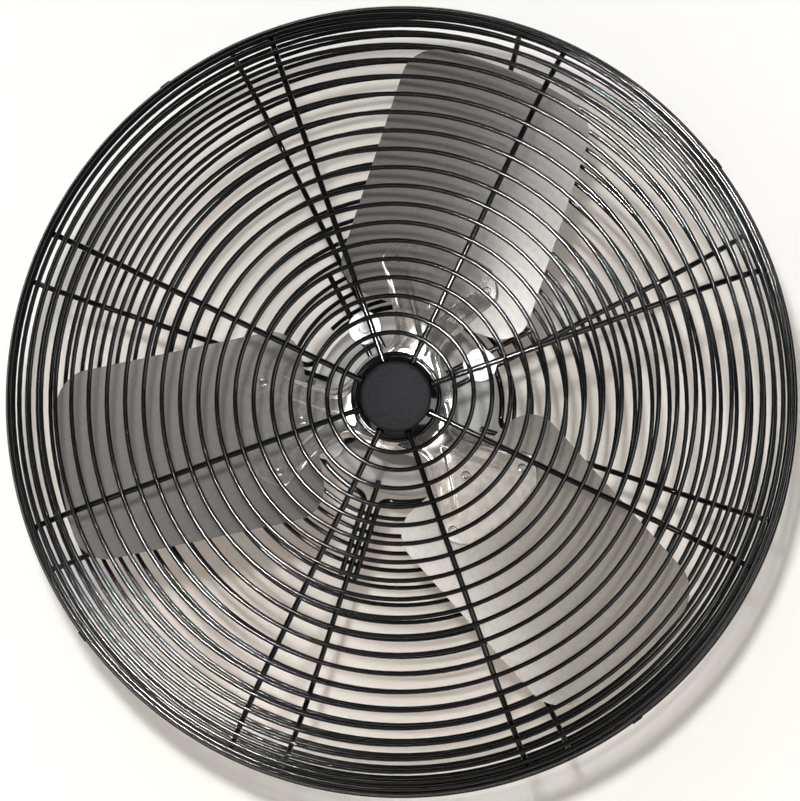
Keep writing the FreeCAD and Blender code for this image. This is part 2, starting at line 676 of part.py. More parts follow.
def wave_washer():
    """The spring washer behind the rear bearing."""
    outer = BEARING_OUTSIDE / 2
    return tube(outer, outer - WAVE_WASHER_WIDTH, -BEARING_LIP - WAVE_WASHER_THICKNESS, -BEARING_LIP)


def rotor_parts():
    """Shaft, rotor core, its end rings and the slinger in front of the bell."""
    front = CORE_MIDDLE - CORE_LENGTH / 2
    back = CORE_MIDDLE + CORE_LENGTH / 2
    core_radius = STATOR_BORE - AIR_GAP
    journal = BEARING_BORE / 2
    shaft = spun([
        (0, DOME_FRONT - SHAFT_PAST_SPIDER),
        (SHAFT_RADIUS, DOME_FRONT - SHAFT_PAST_SPIDER),
        (SHAFT_RADIUS, FRONT_BEARING_Y),
        (journal, FRONT_BEARING_Y),
        (journal, FRONT_BEARING_Y + BEARING_WIDTH),
        (SHAFT_CORE_RADIUS, FRONT_BEARING_Y + BEARING_WIDTH),
        (SHAFT_CORE_RADIUS, REAR_BEARING_Y),
        (journal, REAR_BEARING_Y),
        (journal, REAR_BEARING_Y + BEARING_WIDTH),
        (0, REAR_BEARING_Y + BEARING_WIDTH),
    ])
    ring_outer = core_radius - END_RING_INSET
    rings = [
        tube(ring_outer, END_RING_INNER, front - END_RING_LENGTH, front),
        tube(ring_outer, END_RING_INNER, back, back + END_RING_LENGTH),
    ]
    slinger_back = FRONT_FACE - SLINGER_GAP
    return {
        "motor_shaft": shaft,
        "rotor_core": tube(core_radius, SHAFT_CORE_RADIUS, front, back),
        "rotor_end_rings": Part.makeCompound(rings),
        "shaft_slinger": tube(SLINGER_RADIUS, SHAFT_RADIUS, slinger_back - SLINGER_THICKNESS, slinger_back),
    }


def lead_bar(radius, start, reach):
    """A round bar towards -X through the lead hole, from start to reach."""
    return Part.makeCylinder(radius, reach - start, Vector(-start, -LEAD_HOLE_BACK, 0), Vector(-1, 0, 0))


def box_block(start, reach, inset):
    """A block towards -X with the terminal box's outline less an inset."""
    size = (reach - start, BOX_LENGTH - 2 * inset, BOX_HEIGHT - 2 * inset)
    corner = Vector(-reach, -BOX_BACK - BOX_LENGTH + inset, -BOX_HEIGHT / 2 + inset)
    return Part.makeBox(size[0], size[1], size[2], corner)


def at_posts(shape):
    """Copies of a shape, drawn at the box's middle, at its four corner posts."""
    middle = -BOX_BACK - BOX_LENGTH / 2
    along = BOX_LENGTH / 2 - POST_INSET
    up = BOX_HEIGHT / 2 - POST_INSET
    places = [Vector(0, middle + a * along, b * up) for a in (-1, 1) for b in (-1, 1)]
    return Part.makeCompound([shape.translated(place) for place in places])


def post_bar(radius, start, reach):
    """A round bar towards -X at the box's middle, for at_posts."""
    return Part.makeCylinder(radius, reach - start, Vector(-start, 0, 0), Vector(-1, 0, 0))


def terminal_box():
    """The terminal box, its lid, gasket and screws, the capacitor, the lead grommet and the gland."""
    floor = MOTOR_RADIUS + BOX_FLOOR
    edge = MOTOR_RADIUS + BOX_DEPTH
    lid_inside = edge + GASKET_THICKNESS
    lid_outside = lid_inside + LID_THICKNESS
    saddle = rod(MOTOR_RADIUS, FRONT_FACE, 0)
    block = box_block(MOTOR_RADIUS / 2, edge, 0.0).cut(saddle)
    box = block.cut(box_block(floor, edge, BOX_WALL))
    box = box.fuse(at_posts(post_bar(POST_RADIUS, floor, edge)).Solids).removeSplitter()
    screw_end = edge - LID_SCREW_DEPTH
    gland = Vector(-(floor + edge) / 2, -GLAND_BACK, 0)
    box = cut_all(box, [
        at_posts(post_bar(LID_SCREW_RADIUS, screw_end, edge)),
        lead_bar(LEAD_HOLE_RADIUS, MOTOR_RADIUS / 2, floor),
        downward(GLAND_THREAD, BOX_HEIGHT / 2 - BOX_WALL, BOX_HEIGHT / 2, gland),
    ])
    opening = at_posts(post_bar(POST_RADIUS, edge, lid_inside))
    gasket = box_block(edge, lid_inside, 0.0).cut(box_block(edge, lid_inside, BOX_WALL).cut(opening))
    screw_hole = at_posts(post_bar(LID_SCREW_RADIUS + CLIP_CLEARANCE, edge, lid_outside))
    shank = post_bar(LID_SCREW_RADIUS, screw_end, lid_outside)
    head = post_bar(LID_SCREW_HEAD, lid_outside, lid_outside + LID_SCREW_HEAD_HEIGHT)
    return {
        "terminal_box": box,
        "terminal_box_lid": box_block(lid_inside, lid_outside, 0.0).cut(screw_hole),
        "terminal_box_gasket": gasket.cut(screw_hole),
        "lid_screws": at_posts(shank.fuse(head).removeSplitter()),
        "capacitor": capacitor(floor),
        "lead_grommet": grommet(floor),
        "cable_gland": cable_gland(gland),
        "gland_nut": gland_nut(gland),
    }


def capacitor(floor):
    """The run capacitor, which lies on the box's floor at its front end."""
    start = -BOX_BACK - BOX_LENGTH + BOX_WALL
    can = rod(CAPACITOR_RADIUS, start, start + CAPACITOR_LENGTH, -floor - CAPACITOR_RADIUS)
    return can.makeFillet(CAPACITOR_EDGE, [e for e in can.Edges if e.Curve.TypeId == "Part::GeomCircle"])


def grommet(floor):
    """The rubber grommet between motor and box, with a flange in the box."""
    inside = MOTOR_RADIUS - BELL_WALL
    flange = lead_bar(LEAD_HOLE_RADIUS + GROMMET_FLANGE, floor, floor + GROMMET_WALL)
    body = lead_bar(LEAD_HOLE_RADIUS, inside, floor).fuse(flange).removeSplitter()
    return body.cut(lead_bar(LEAD_HOLE_RADIUS - GROMMET_WALL, inside, floor + GROMMET_WALL))


def downward(radius, start, reach, place):
    """A round bar towards -Z at a place, from start to reach below the middle."""
    return Part.makeCylinder(radius, reach - start, place - Vector(0, 0, start), Vector(0, 0, -1))


def hex_downward(flats, start, reach, place):
    """A hexagonal bar towards -Z at a place, from start to reach below the middle."""
    bar = hexagon(flats, start, reach).rotated(ORIGIN, Vector(1, 0, 0), -90)
    return bar.translated(place)


def cable_gland(place):
    """The gland under the box, open, with its threaded end through the box's wall."""
    inside = BOX_HEIGHT / 2 - BOX_WALL - GLAND_NUT_HEIGHT
    outside = BOX_HEIGHT / 2
    hex_end = outside + GLAND_HEX_HEIGHT
    dome_end = hex_end + GLAND_DOME_HEIGHT
    body = downward(GLAND_THREAD, inside, outside, place)
    body = body.fuse(hex_downward(GLAND_FLATS, outside, hex_end, place))
    body = body.fuse(downward(GLAND_DOME_RADIUS, hex_end, dome_end, place)).removeSplitter()
    return body.cut(downward(GLAND_BORE, inside, dome_end, place))


def gland_nut(place):
    """The nut that holds the gland inside the box."""
    inside = BOX_HEIGHT / 2 - BOX_WALL - GLAND_NUT_HEIGHT
    wall = BOX_HEIGHT / 2 - BOX_WALL
    return hex_downward(GLAND_NUT_FLATS, inside, wall, place).cut(downward(GLAND_THREAD, inside, wall, place))


def section_centre():
    """The centre of curvature of the blade's section, in front of its hollow side.

    The counterclockwise edge stands nearer the front."""
    pitch = math.radians(BLADE_PITCH)
    return Vector(0, BLADE_PLANE - CAMBER_RADIUS * math.cos(pitch), -CAMBER_RADIUS * math.sin(pitch))


def section_point(radius, across):
    """A point of the blade's section at a sideways distance, on an arc about its centre of curvature."""
    centre = section_centre()
    return Vector(0, centre.y + math.sqrt(radius ** 2 - (across - centre.z) ** 2), across)


def section_wire(inner, outer, half_width, reach):
    """The outline of a curved sheet between two arc radii, at a distance along the blade."""
    along = Vector(reach, 0, 0)
    inside = [section_point(inner, across) + along for across in (-half_width, 0, half_width)]
    outside = [section_point(outer, across) + along for across in (half_width, 0, -half_width)]
    return Part.Wire([
        Part.Arc(*inside).toShape(),
        Part.makeLine(inside[2], outside[0]),
        Part.Arc(*outside).toShape(),
        Part.makeLine(outside[2], inside[0]),
    ])


def curved_sheet(inner, outer, start, end):
    """A curved sheet along +X, wider than any blade."""
    face = Part.Face(section_wire(inner, outer, SHEET_OVERSIZE * BLADE_HALF_WIDTH, start))
    return face.extrude(Vector(end - start, 0, 0))


def tip_arc(radius, half_width):
    """The arc about the fan's axis that ends an outline, from one side to the other, on the plane y 0."""
    x = math.sqrt(radius * radius - half_width * half_width)
    return Part.Arc(Vector(x, 0, -half_width), Vector(radius, 0, 0), Vector(x, 0, half_width)).toShape()


def prism(edges, corners):
    """An outline on the plane y 0 made into a bar through the propeller, with some corners rounded."""
    face = Part.Face(Part.Wire(edges))
    low = FRONT_WIRE_Y
    bar = face.extrude(Vector(0, FRONT_FACE - FRONT_WIRE_Y, 0)).translated(Vector(0, low, 0))
    for radius, xs in corners:
        edges = [e for e in bar.Edges if is_corner(e, xs)]
        bar = bar.makeFillet(radius, edges)
    return bar


def is_corner(edge, span):
    """Whether an edge of a bar runs along the axis at a distance along the blade within a span."""
    box = edge.BoundBox
    return box.YLength > abs(FRONT_FACE - FRONT_WIRE_Y) / 2 and span[0] < box.XMin and box.XMax < span[1]


def blade_outline():
    """The blade's outline as seen along the axis."""
    tip_x = math.sqrt(BLADE_TIP ** 2 - BLADE_HALF_WIDTH ** 2)
    root = [Vector(BLADE_ROOT, 0, side * BLADE_HALF_WIDTH) for side in (-1, 1)]
    tip = [Vector(tip_x, 0, side * BLADE_HALF_WIDTH) for side in (-1, 1)]
    edges = [
        Part.makeLine(root[0], tip[0]),
        tip_arc(BLADE_TIP, BLADE_HALF_WIDTH),
        Part.makeLine(tip[1], root[1]),
        Part.makeLine(root[1], root[0]),
    ]
    middle = (BLADE_ROOT + BLADE_TIP) / 2
    return prism(edges, [(ROOT_CORNER, (0, middle)), (TIP_CORNER, (middle, BLADE_TIP))])


def rivet_places():
    """Distance along the blade and across it of its three rivets."""
    x, z = on_circle(OUTER_RIVET, OUTER_RIVET_ANGLE)
    return [(INNER_RIVET, 0.0), (x, z), (x, -z)]


def rivet_axis(place):
    """The middle of the blade's front face at a rivet, and the direction that it faces there."""
    reach, across = place
    point = section_point(CAMBER_RADIUS, across)
    facing = (section_centre() - point).normalize()
    return point + Vector(reach, 0, 0), facing


def rivet_bar(place, radius, start, end):
    """A round bar at a rivet, from start to end measured out of the blade's front face."""
    point, facing = rivet_axis(place)
    return Part.makeCylinder(radius, end - start, point + facing * start, facing)


def rivet(place):
    """A rivet with a head on the spider and a formed head behind the blade."""
    back = -BLADE_SHEET
    plate_radius = CAMBER_RADIUS - SPIDER_SHEET
    hollow = plate_radius - math.sqrt(plate_radius ** 2 - RIVET_HEAD ** 2)
    seat = SPIDER_SHEET + hollow + RIVET_SEAT
    shank = rivet_bar(place, RIVET_RADIUS, back, seat)
    head = rivet_bar(place, RIVET_HEAD, seat, seat + RIVET_HEAD_HEIGHT)
    tail = rivet_bar(place, RIVET_HEAD, back - RIVET_HEAD_HEIGHT, back)
    return shank.fuse(head).fuse(tail).removeSplitter()


def rivet_holes():
    """The rivet holes through one blade and its arm of the spider."""
    reach = SPIDER_SHEET + BLADE_SHEET
    return [rivet_bar(place, RIVET_RADIUS + RIVET_CLEARANCE, -reach, reach) for place in rivet_places()]


def blade():
    """One blade along +X."""
    sheet = curved_sheet(CAMBER_RADIUS, CAMBER_RADIUS + BLADE_SHEET, BLADE_ROOT / 2, BLADE_TIP)
    return cut_all(sheet.common(blade_outline()), rivet_holes())


def arm_plate():
    """The plate of one arm, which lies on the blade's front face."""
    tip_x = math.sqrt(PLATE_TIP ** 2 - PLATE_HALF_WIDTH ** 2)
    sides = (-1, 1)
    neck = [Vector(ARM_END, 0, s * ARM_END_HALF_WIDTH) for s in sides]
    shoulder = [Vector(PLATE_SHOULDER, 0, s * PLATE_HALF_WIDTH) for s in sides]
    tip = [Vector(tip_x, 0, s * PLATE_HALF_WIDTH) for s in sides]
    edges = [
        Part.makeLine(neck[0], shoulder[0]),
        Part.makeLine(shoulder[0], tip[0]),
        tip_arc(PLATE_TIP, PLATE_HALF_WIDTH),
        Part.makeLine(tip[1], shoulder[1]),
        Part.makeLine(shoulder[1], neck[1]),
        Part.makeLine(neck[1], neck[0]),
    ]
    outline = prism(edges, [(PLATE_CORNER, ((PLATE_SHOULDER + tip_x) / 2, PLATE_TIP))])
    return curved_sheet(CAMBER_RADIUS - SPIDER_SHEET, CAMBER_RADIUS, ARM_START, PLATE_TIP).common(outline)


def arm_neck():
    """The twisted stretch from the flat disc to the plate of one arm."""
    outer = section_wire(CAMBER_RADIUS - SPIDER_SHEET, CAMBER_RADIUS, ARM_END_HALF_WIDTH, ARM_END)
    front = BLADE_PLANE - SPIDER_SHEET
    corners = [
        Vector(ARM_START, front, -ARM_HALF_WIDTH),
        Vector(ARM_START, front, ARM_HALF_WIDTH),
        Vector(ARM_START, BLADE_PLANE, ARM_HALF_WIDTH),
        Vector(ARM_START, BLADE_PLANE, -ARM_HALF_WIDTH),
    ]
    return Part.makeLoft([Part.makePolygon(corners + corners[:1]), outer], True, True)


def neck_point(reach, across):
    """A point of an arm's front face between the disc and the plate."""
    share = (reach - ARM_START) / (ARM_END - ARM_START)
    half_width = ARM_HALF_WIDTH + share * (ARM_END_HALF_WIDTH - ARM_HALF_WIDTH)
    end = section_point(CAMBER_RADIUS - SPIDER_SHEET, across / half_width * ARM_END_HALF_WIDTH)
    front = BLADE_PLANE - SPIDER_SHEET
    return Vector(reach, front + share * (end.y - front), across)


def arm_rib(side):
    """One raised rib along an arm's front face, bent where the neck meets the plate."""
    spread = (RIB_END_OFFSET - RIB_START_OFFSET) / (RIB_END - RIB_START)
    bend_offset = RIB_START_OFFSET + spread * (ARM_END - RIB_START)
    points = [
        neck_point(RIB_START, side * RIB_START_OFFSET),
        neck_point(ARM_END, side * bend_offset),
        section_point(CAMBER_RADIUS - SPIDER_SHEET, side * RIB_END_OFFSET) + Vector(RIB_END, 0, 0),
    ]
    points = [point + FORWARD * (RIB_RADIUS - RIB_SINK) for point in points]
    rib = Part.makeSphere(RIB_RADIUS, points[0])
    for here, ahead in zip(points, points[1:]):
        rib = rib.fuse(Part.makeCylinder(RIB_RADIUS, (ahead - here).Length, here, ahead - here))
        rib = rib.fuse(Part.makeSphere(RIB_RADIUS, ahead))
    return rib


def spider_disc():
    """The middle of the spider: a disc with a raised dome, bored for the shaft."""
    bore = SHAFT_RADIUS + HUB_BORE_CLEARANCE
    return spun([
        (bore, DOME_FRONT),
        (SPIDER_DOME_RADIUS, DOME_FRONT),
        (SPIDER_DISC, DISC_FRONT),
        (SPIDER_DISC, DISC_BACK),
        (bore, DISC_BACK),
    ])


def spider():
    """The stamped spider: disc and three ribbed arms, with the rivet holes."""
    arm = arm_plate().fuse(arm_neck())
    for side in (-1, 1):
        arm = arm.fuse(arm_rib(side))
    shape = spider_disc()
    for k in range(BLADE_COUNT):
        shape = shape.fuse(turned(arm, BLADE_ANGLE + 360.0 * k / BLADE_COUNT))
    holes = [around(hole, BLADE_COUNT, BLADE_ANGLE) for hole in rivet_holes()]
    holes.append(around(hub_rivet_bar(RIVET_RADIUS + RIVET_CLEARANCE), BLADE_COUNT, BLADE_ANGLE))
    return cut_all(shape, holes)


def hub_rivet_bar(radius):
    """A round bar at one hub rivet, through the spider's dome and the hub's flange."""
    return rod(radius, DOME_FRONT, DISC_BACK + HUB_FLANGE_THICKNESS, HUB_RIVET_CIRCLE)


def hub_rivet():
    """A rivet through the spider's dome and the hub's flange."""
    back = DISC_BACK + HUB_FLANGE_THICKNESS
    head = rod(RIVET_HEAD, DOME_FRONT - RIVET_HEAD_HEIGHT, DOME_FRONT, HUB_RIVET_CIRCLE)
    tail = rod(RIVET_HEAD, back, back + RIVET_HEAD_HEIGHT, HUB_RIVET_CIRCLE)
    return hub_rivet_bar(RIVET_RADIUS).fuse(head).fuse(tail).removeSplitter()


def hub():
    """The hub behind the spider, with its flange, its bore and the set screw's hole."""
    bore = SHAFT_RADIUS + HUB_BORE_CLEARANCE
    end = DISC_BACK + HUB_LENGTH
    flange_back = DISC_BACK + HUB_FLANGE_THICKNESS
    body = tube(HUB_RADIUS, bore, DISC_BACK, end).fuse(tube(HUB_FLANGE, bore, DISC_BACK, flange_back))
    hole = around(hub_rivet_bar(RIVET_RADIUS + RIVET_CLEARANCE), BLADE_COUNT, BLADE_ANGLE)
    return cut_all(body.removeSplitter(), [hole, set_screw_bar(0.0, HUB_RADIUS)])


def set_screw_bar(start, reach):
    """A round bar straight down through the hub, from start to reach."""
    place = Vector(0, DISC_BACK + HUB_LENGTH - SET_SCREW_BACK, 0)
    return downward(SET_SCREW_RADIUS, start, reach, place)


def set_screw():
    """The set screw that bears on the shaft."""
    return set_screw_bar(0.0, HUB_RADIUS + SET_SCREW_PROUD).cut(rod(SHAFT_RADIUS, RIM_PLANE, FRONT_FACE))


def propeller():
    """Blades, spider, hub, rivets and set screw."""
    parts = {}
    for k in range(BLADE_COUNT):
        parts["blade_%d" % (k + 1)] = turned(blade(), BLADE_ANGLE + 360.0 * k / BLADE_COUNT)
    rivets = Part.makeCompound([rivet(place) for place in rivet_places()])
    parts["spider"] = spider()
    parts["hub"] = hub()
    parts["blade_rivets"] = Part.makeCompound(around(rivets, BLADE_COUNT, BLADE_ANGLE).Solids)
    parts["hub_rivets"] = around(hub_rivet(), BLADE_COUNT, BLADE_ANGLE)
    parts["set_screw"] = set_screw()
    return parts


def main():
    """Build every piece and write one file for each."""
    parts = {}
    parts.update(front_basket())
    parts.update(rear_basket())
    parts["rim_clips"] = rim_clips()
    parts.update(guard_bolts())
    parts.update(casing())
    parts.update(stator_parts())
    parts.update(bearing("front", FRONT_BEARING_Y))
    parts.update(bearing("rear", REAR_BEARING_Y))
    parts["bearing_wave_washer"] = wave_washer()
    parts.update(terminal_box())
    parts.update(rotor_parts())
    parts.update(propeller())
    os.makedirs("parts", exist_ok=True)
    for name, shape in parts.items():
        shape.exportStep(os.path.join("parts", name + ".step"))
        print(name, len(shape.Solids), "solids", shape.isValid(), round(shape.Volume))


main()
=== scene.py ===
"""Looks of an industrial basket fan: wire basket, propeller and motor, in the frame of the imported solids.

Sizes are in millimetres and become metres where a mesh is made. Y is the fan's axis, the front faces -Y
and +Z is up. Angles run counterclockwise from +X as seen from the front.
"""

import json
import logging
import math
from dataclasses import dataclass, field
from enum import Enum

import bmesh
import bpy
import numpy as np
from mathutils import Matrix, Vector


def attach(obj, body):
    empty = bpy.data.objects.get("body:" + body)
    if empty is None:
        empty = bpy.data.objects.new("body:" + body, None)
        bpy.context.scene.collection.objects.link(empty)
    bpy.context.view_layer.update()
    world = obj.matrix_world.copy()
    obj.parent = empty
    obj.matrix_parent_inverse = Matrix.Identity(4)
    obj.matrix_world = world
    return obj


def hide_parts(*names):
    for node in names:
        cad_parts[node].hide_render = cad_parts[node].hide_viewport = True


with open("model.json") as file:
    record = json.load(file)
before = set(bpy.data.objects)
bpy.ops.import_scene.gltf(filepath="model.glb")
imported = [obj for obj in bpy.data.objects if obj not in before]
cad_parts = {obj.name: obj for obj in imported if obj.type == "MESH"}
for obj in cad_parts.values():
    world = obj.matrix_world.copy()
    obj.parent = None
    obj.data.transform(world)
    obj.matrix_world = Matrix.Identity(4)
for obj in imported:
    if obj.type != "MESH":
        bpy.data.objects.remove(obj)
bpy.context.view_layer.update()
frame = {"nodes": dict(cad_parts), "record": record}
LOG = logging.getLogger("basket_fan")
MM = 0.001
FULL_TURN = 2 * math.pi
QUARTER_TURN = math.pi / 2
ROOT = "motor_and_basket"
ROTOR = "rotor"
# Points of a mesh within this distance become one, and edges shorter than the second go, in metres.
MERGE_DISTANCE = 2e-6
SLIVER = 1e-7
# The chamfer at a wire's free end, as a share of the wire's diameter.
WIRE_CHAMFER = 0.12
# Directions from which a wire's circle is turned: the fan's axis, and the side of a spoke along +X.
AXIS = np.array([0.0, 1.0, 0.0])
ASIDE = np.array([0.0, 0.0, 1.0])
# The sockets of a Mix node for colours, by number because other types of its sockets share their names.
MIX_SHARE, MIX_FIRST, MIX_SECOND, MIX_RESULT = 0, 6, 7, 2

Pair = tuple[float, float]
Triple = tuple[float, float, float]
Outline = list[Pair]
Material = bpy.types.Material


class Half(Enum):
    """The two halves of the basket: where their spokes lie and which way the rim is."""

    FRONT = (-338.5, 1.0)
    REAR = (-152.5, -1.0)

    @property
    def wire_y(self) -> float:
        """Place of the spokes' centreline along the axis."""
        return self.value[0]

    @property
    def inward(self) -> float:
        """1 where the rim lies towards +Y, otherwise -1."""
        return self.value[1]


class Rays(Enum):
    """What a lamp shows up in, as whether diffuse rays and glossy rays see it."""

    SHADING = (True, False)
    REFLECTIONS = (False, True)


@dataclass
class Sheet:
    """A grid of points, and whether it closes on itself along each of its two parameters."""

    points: np.ndarray
    close_u: bool = False
    close_v: bool = False

    def faces(self) -> np.ndarray:
        """Quads of the grid: each point with its neighbours one step on in u, in both and in v.

        Returns:
            Rows of four corner numbers.
        """
        rows, columns = self.points.shape[:2]
        u = np.arange(rows if self.close_u else rows - 1)[:, None]
        v = np.arange(columns if self.close_v else columns - 1)[None, :]
        ahead_u = (u + 1) % rows
        ahead_v = (v + 1) % columns
        corners = [u * columns + v, ahead_u * columns + v, ahead_u * columns + ahead_v, u * columns + ahead_v]
        return np.stack(np.broadcast_arrays(*corners), axis=-1).reshape(-1, 4)

    def turned(self, angle: float) -> "Sheet":
        """The grid turned about the fan's axis, counterclockwise as seen from the front."""
        return Sheet(turn_points(self.points, angle), self.close_u, self.close_v)

    def moved_out(self, distance: float) -> "Sheet":
        """The grid moved along +X."""
        return Sheet(self.points + np.array([distance, 0.0, 0.0]), self.close_u, self.close_v)


def turn_points(points: np.ndarray, angle: float) -> np.ndarray:
    """Turn points about the Y axis: x and z rotate in their plane by the angle, y stays.

    Args:
        points: Array whose last axis holds x, y and z.
        angle: Degrees, counterclockwise as seen from the front.

    Returns:
        The turned array.
    """
    c, s = math.cos(math.radians(angle)), math.sin(math.radians(angle))
    x, y, z = points[..., 0], points[..., 1], points[..., 2]
    return np.stack([x * c - z * s, y, x * s + z * c], axis=-1)


def unit(vectors: np.ndarray) -> np.ndarray:
    """Vectors divided by their lengths."""
    return vectors / np.linalg.norm(vectors, axis=-1, keepdims=True)


def make_piece(name: str, sheets: list[Sheet], body: str, material: Material,
               nodes: tuple[str, ...], smooth_angle: float = 40.0) -> None:
    """Put grids into one mesh object that rides on a body.

    Args:
        name: Name of the piece.
        sheets: Its grids, in millimetres.
        body: The body that it moves with.
        material: Its material.
        nodes: The solids that it stands for.
        smooth_angle: Edges that turn by more degrees than this stay sharp.
    """
    corners = np.concatenate([sheet.points.reshape(-1, 3) for sheet in sheets]) * MM
    starts = np.cumsum([0] + [sheet.points.shape[0] * sheet.points.shape[1] for sheet in sheets[:-1]])
    quads = np.concatenate([sheet.faces() + start for sheet, start in zip(sheets, starts)])
    mesh = bpy.data.meshes.new(name)
    mesh.vertices.add(len(corners))
    mesh.vertices.foreach_set("co", corners.astype(np.float32).ravel())
    mesh.loops.add(quads.size)
    mesh.loops.foreach_set("vertex_index", quads.astype(np.int32).ravel())
    mesh.polygons.add(len(quads))
    mesh.polygons.foreach_set("loop_start", np.arange(0, quads.size, 4, dtype=np.int32))
    mesh.update(calc_edges=True)
    work = bmesh.new()
    work.from_mesh(mesh)
    bmesh.ops.remove_doubles(work, verts=work.verts, dist=MERGE_DISTANCE)
    bmesh.ops.dissolve_degenerate(work, edges=work.edges, dist=SLIVER)
    bmesh.ops.recalc_face_normals(work, faces=work.faces)
    work.to_mesh(mesh)
    work.free()
    mesh.polygons.foreach_set("use_smooth", np.ones(len(mesh.polygons), dtype=bool))
    mesh.set_sharp_from_angle(angle=math.radians(smooth_angle))
    mesh.materials.append(material)
    piece = bpy.data.objects.new(name, mesh)
    bpy.context.scene.collection.objects.link(piece)
    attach(piece, body)
    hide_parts(*nodes)
    LOG.info("%s: %d faces", name, len(mesh.polygons))


def wire(path: np.ndarray, diameter: float, reference: np.ndarray, closed: bool = False,
         sides: int = 12) -> Sheet:
    """A round wire: a circle carried along a path, square to it, with a small chamfer at each free end.

    Args:
        path: Points along the centreline.
        diameter: Thickness of the wire.
        reference: A direction that the path never runs along, from which the circle is turned.
        closed: Whether the last point joins the first.
        sides: Points round the circle.

    Returns:
        The wire's grid.
    """
    if closed:
        tangent = np.roll(path, -1, axis=0) - np.roll(path, 1, axis=0)
    else:
        tangent = np.gradient(path, axis=0)
    tangent = unit(tangent)
    across = unit(np.cross(tangent, reference))
    upward = np.cross(across, tangent)
    radius = np.full(len(path), diameter / 2)
    if not closed:
        bevel = diameter * WIRE_CHAMFER
        ends = [path[:1], path[:1], path[:1] + tangent[:1] * bevel]
        tails = [path[-1:] - tangent[-1:] * bevel, path[-1:], path[-1:]]
        path = np.concatenate(ends + [path[1:-1]] + tails)
        across = np.concatenate([across[:1]] * 3 + [across[1:-1]] + [across[-1:]] * 3)
        upward = np.concatenate([upward[:1]] * 3 + [upward[1:-1]] + [upward[-1:]] * 3)
        rim = diameter / 2 - bevel
        radius = np.concatenate([[0, rim, diameter / 2], radius[1:-1], [diameter / 2, rim, 0]])
    turn = np.linspace(0, FULL_TURN, sides, endpoint=False)[None, :, None]
    circle = np.cos(turn) * across[:, None, :] + np.sin(turn) * upward[:, None, :]
    return Sheet(path[:, None, :] + radius[:, None, None] * circle, close_u=closed, close_v=True)


def spun(profile: Outline, segments: int = 96, closed: bool = True) -> Sheet:
    """A surface of revolution: each (radius, y) of the profile goes round the fan's axis.

    Args:
        profile: Points of the outline, from one end to the other.
        segments: Steps round the axis.
        closed: Whether the outline's last point joins its first.

    Returns:
        The surface's grid.
    """
    radius, height = np.array(profile, dtype=float).T
    turn = np.linspace(0, FULL_TURN, segments, endpoint=False)
    x = radius[:, None] * np.cos(turn)[None, :]
    z = radius[:, None] * np.sin(turn)[None, :]
    y = np.broadcast_to(height[:, None], x.shape)
    return Sheet(np.stack([x, y, z], axis=-1), close_u=closed, close_v=True)


def fillet(centre: Pair, radius: float, start: float, end: float, steps: int = 8) -> Outline:
    """An arc in an outline: points at even angles round a centre.

    Args:
        centre: Radius and y of the arc's centre.
        radius: The arc's own radius.
        start: Its first angle, in degrees.
        end: Its last angle.
        steps: Its points.

    Returns:
        The points as (radius, y).
    """
    turn = np.radians(np.linspace(start, end, steps))
    return [(centre[0] + radius * math.cos(t), centre[1] + radius * math.sin(t)) for t in turn]


def rounded(profile: list[Triple], steps: int = 5) -> Outline:
    """A polygon outline with its corners rounded.

    Each corner is replaced by a quadratic curve that starts and ends the given distance away from it.

    Args:
        profile: Corners as (radius, y, rounding).
        steps: Points on each rounded corner.

    Returns:
        The outline's points, to be closed on itself.
    """
    corners = np.array([corner[:2] for corner in profile], dtype=float)
    points: Outline = []
    for k, (_, _, size) in enumerate(profile):
        here = corners[k]
        if size <= 0:
            points.append(tuple(here))
            continue
        before = here + unit(corners[k - 1] - here) * size
        after = here + unit(corners[(k + 1) % len(corners)] - here) * size
        t = np.linspace(0, 1, steps)[:, None]
        curve = (1 - t) ** 2 * before + 2 * t * (1 - t) * here + t ** 2 * after
        points.extend(map(tuple, curve))
    return points


def border(grid: np.ndarray) -> np.ndarray:
    """Points round the border of a grid, in order."""
    return np.concatenate([grid[0, :-1], grid[:-1, -1], grid[-1, :0:-1], grid[:0:-1, 0]])


def closed_plate(front: np.ndarray, back: np.ndarray) -> list[Sheet]:
    """Two faces of a plate and the strip between their borders.

    Args:
        front: Grid of the front face.
        back: Grid of the back face, of the same shape.

    Returns:
        The three grids.
    """
    edge = np.stack([border(front), border(back)], axis=0)
    return [Sheet(front), Sheet(back[:, ::-1]), Sheet(edge, close_v=True)]


def smooth_step(value: np.ndarray, low: np.ndarray | float, high: np.ndarray | float) -> np.ndarray:
    """0 below the low end, 1 above the high end and the cubic 3t^2 - 2t^3 between them."""
    t = np.clip((value - low) / (high - low), 0, 1)
    return t * t * (3 - 2 * t)


def linear(code: str) -> tuple[float, float, float, float]:
    """An sRGB hex colour as linear red, green, blue and alpha."""
    levels = [int(code[k:k + 2], 16) / 255 for k in (1, 3, 5)]
    return (*[v / 12.92 if v <= 0.04045 else ((v + 0.055) / 1.055) ** 2.4 for v in levels], 1.0)


def add_node(tree: bpy.types.NodeTree, kind: str, settings: dict | None = None,
             links: dict | None = None) -> bpy.types.Node:
    """Add a node with its settings and links.

    Args:
        tree: The tree that it goes into.
        kind: Its type name.
        settings: Property names, or socket numbers and names, with their values.
        links: Input sockets, each with the output socket that feeds it.

    Returns:
        The node.
    """
    node = tree.nodes.new(kind)
    for key, value in (settings or {}).items():
        if isinstance(key, str) and hasattr(node, key):
            setattr(node, key, value)
        else:
            node.inputs[key].default_value = value
    for key, source in (links or {}).items():
        tree.links.new(source, node.inputs[key])
    return node


def per_metre(size_mm: float) -> float:
    """Texture scale at which one cell has this size, for coordinates in metres."""
    return 1.0 / (size_mm * MM)


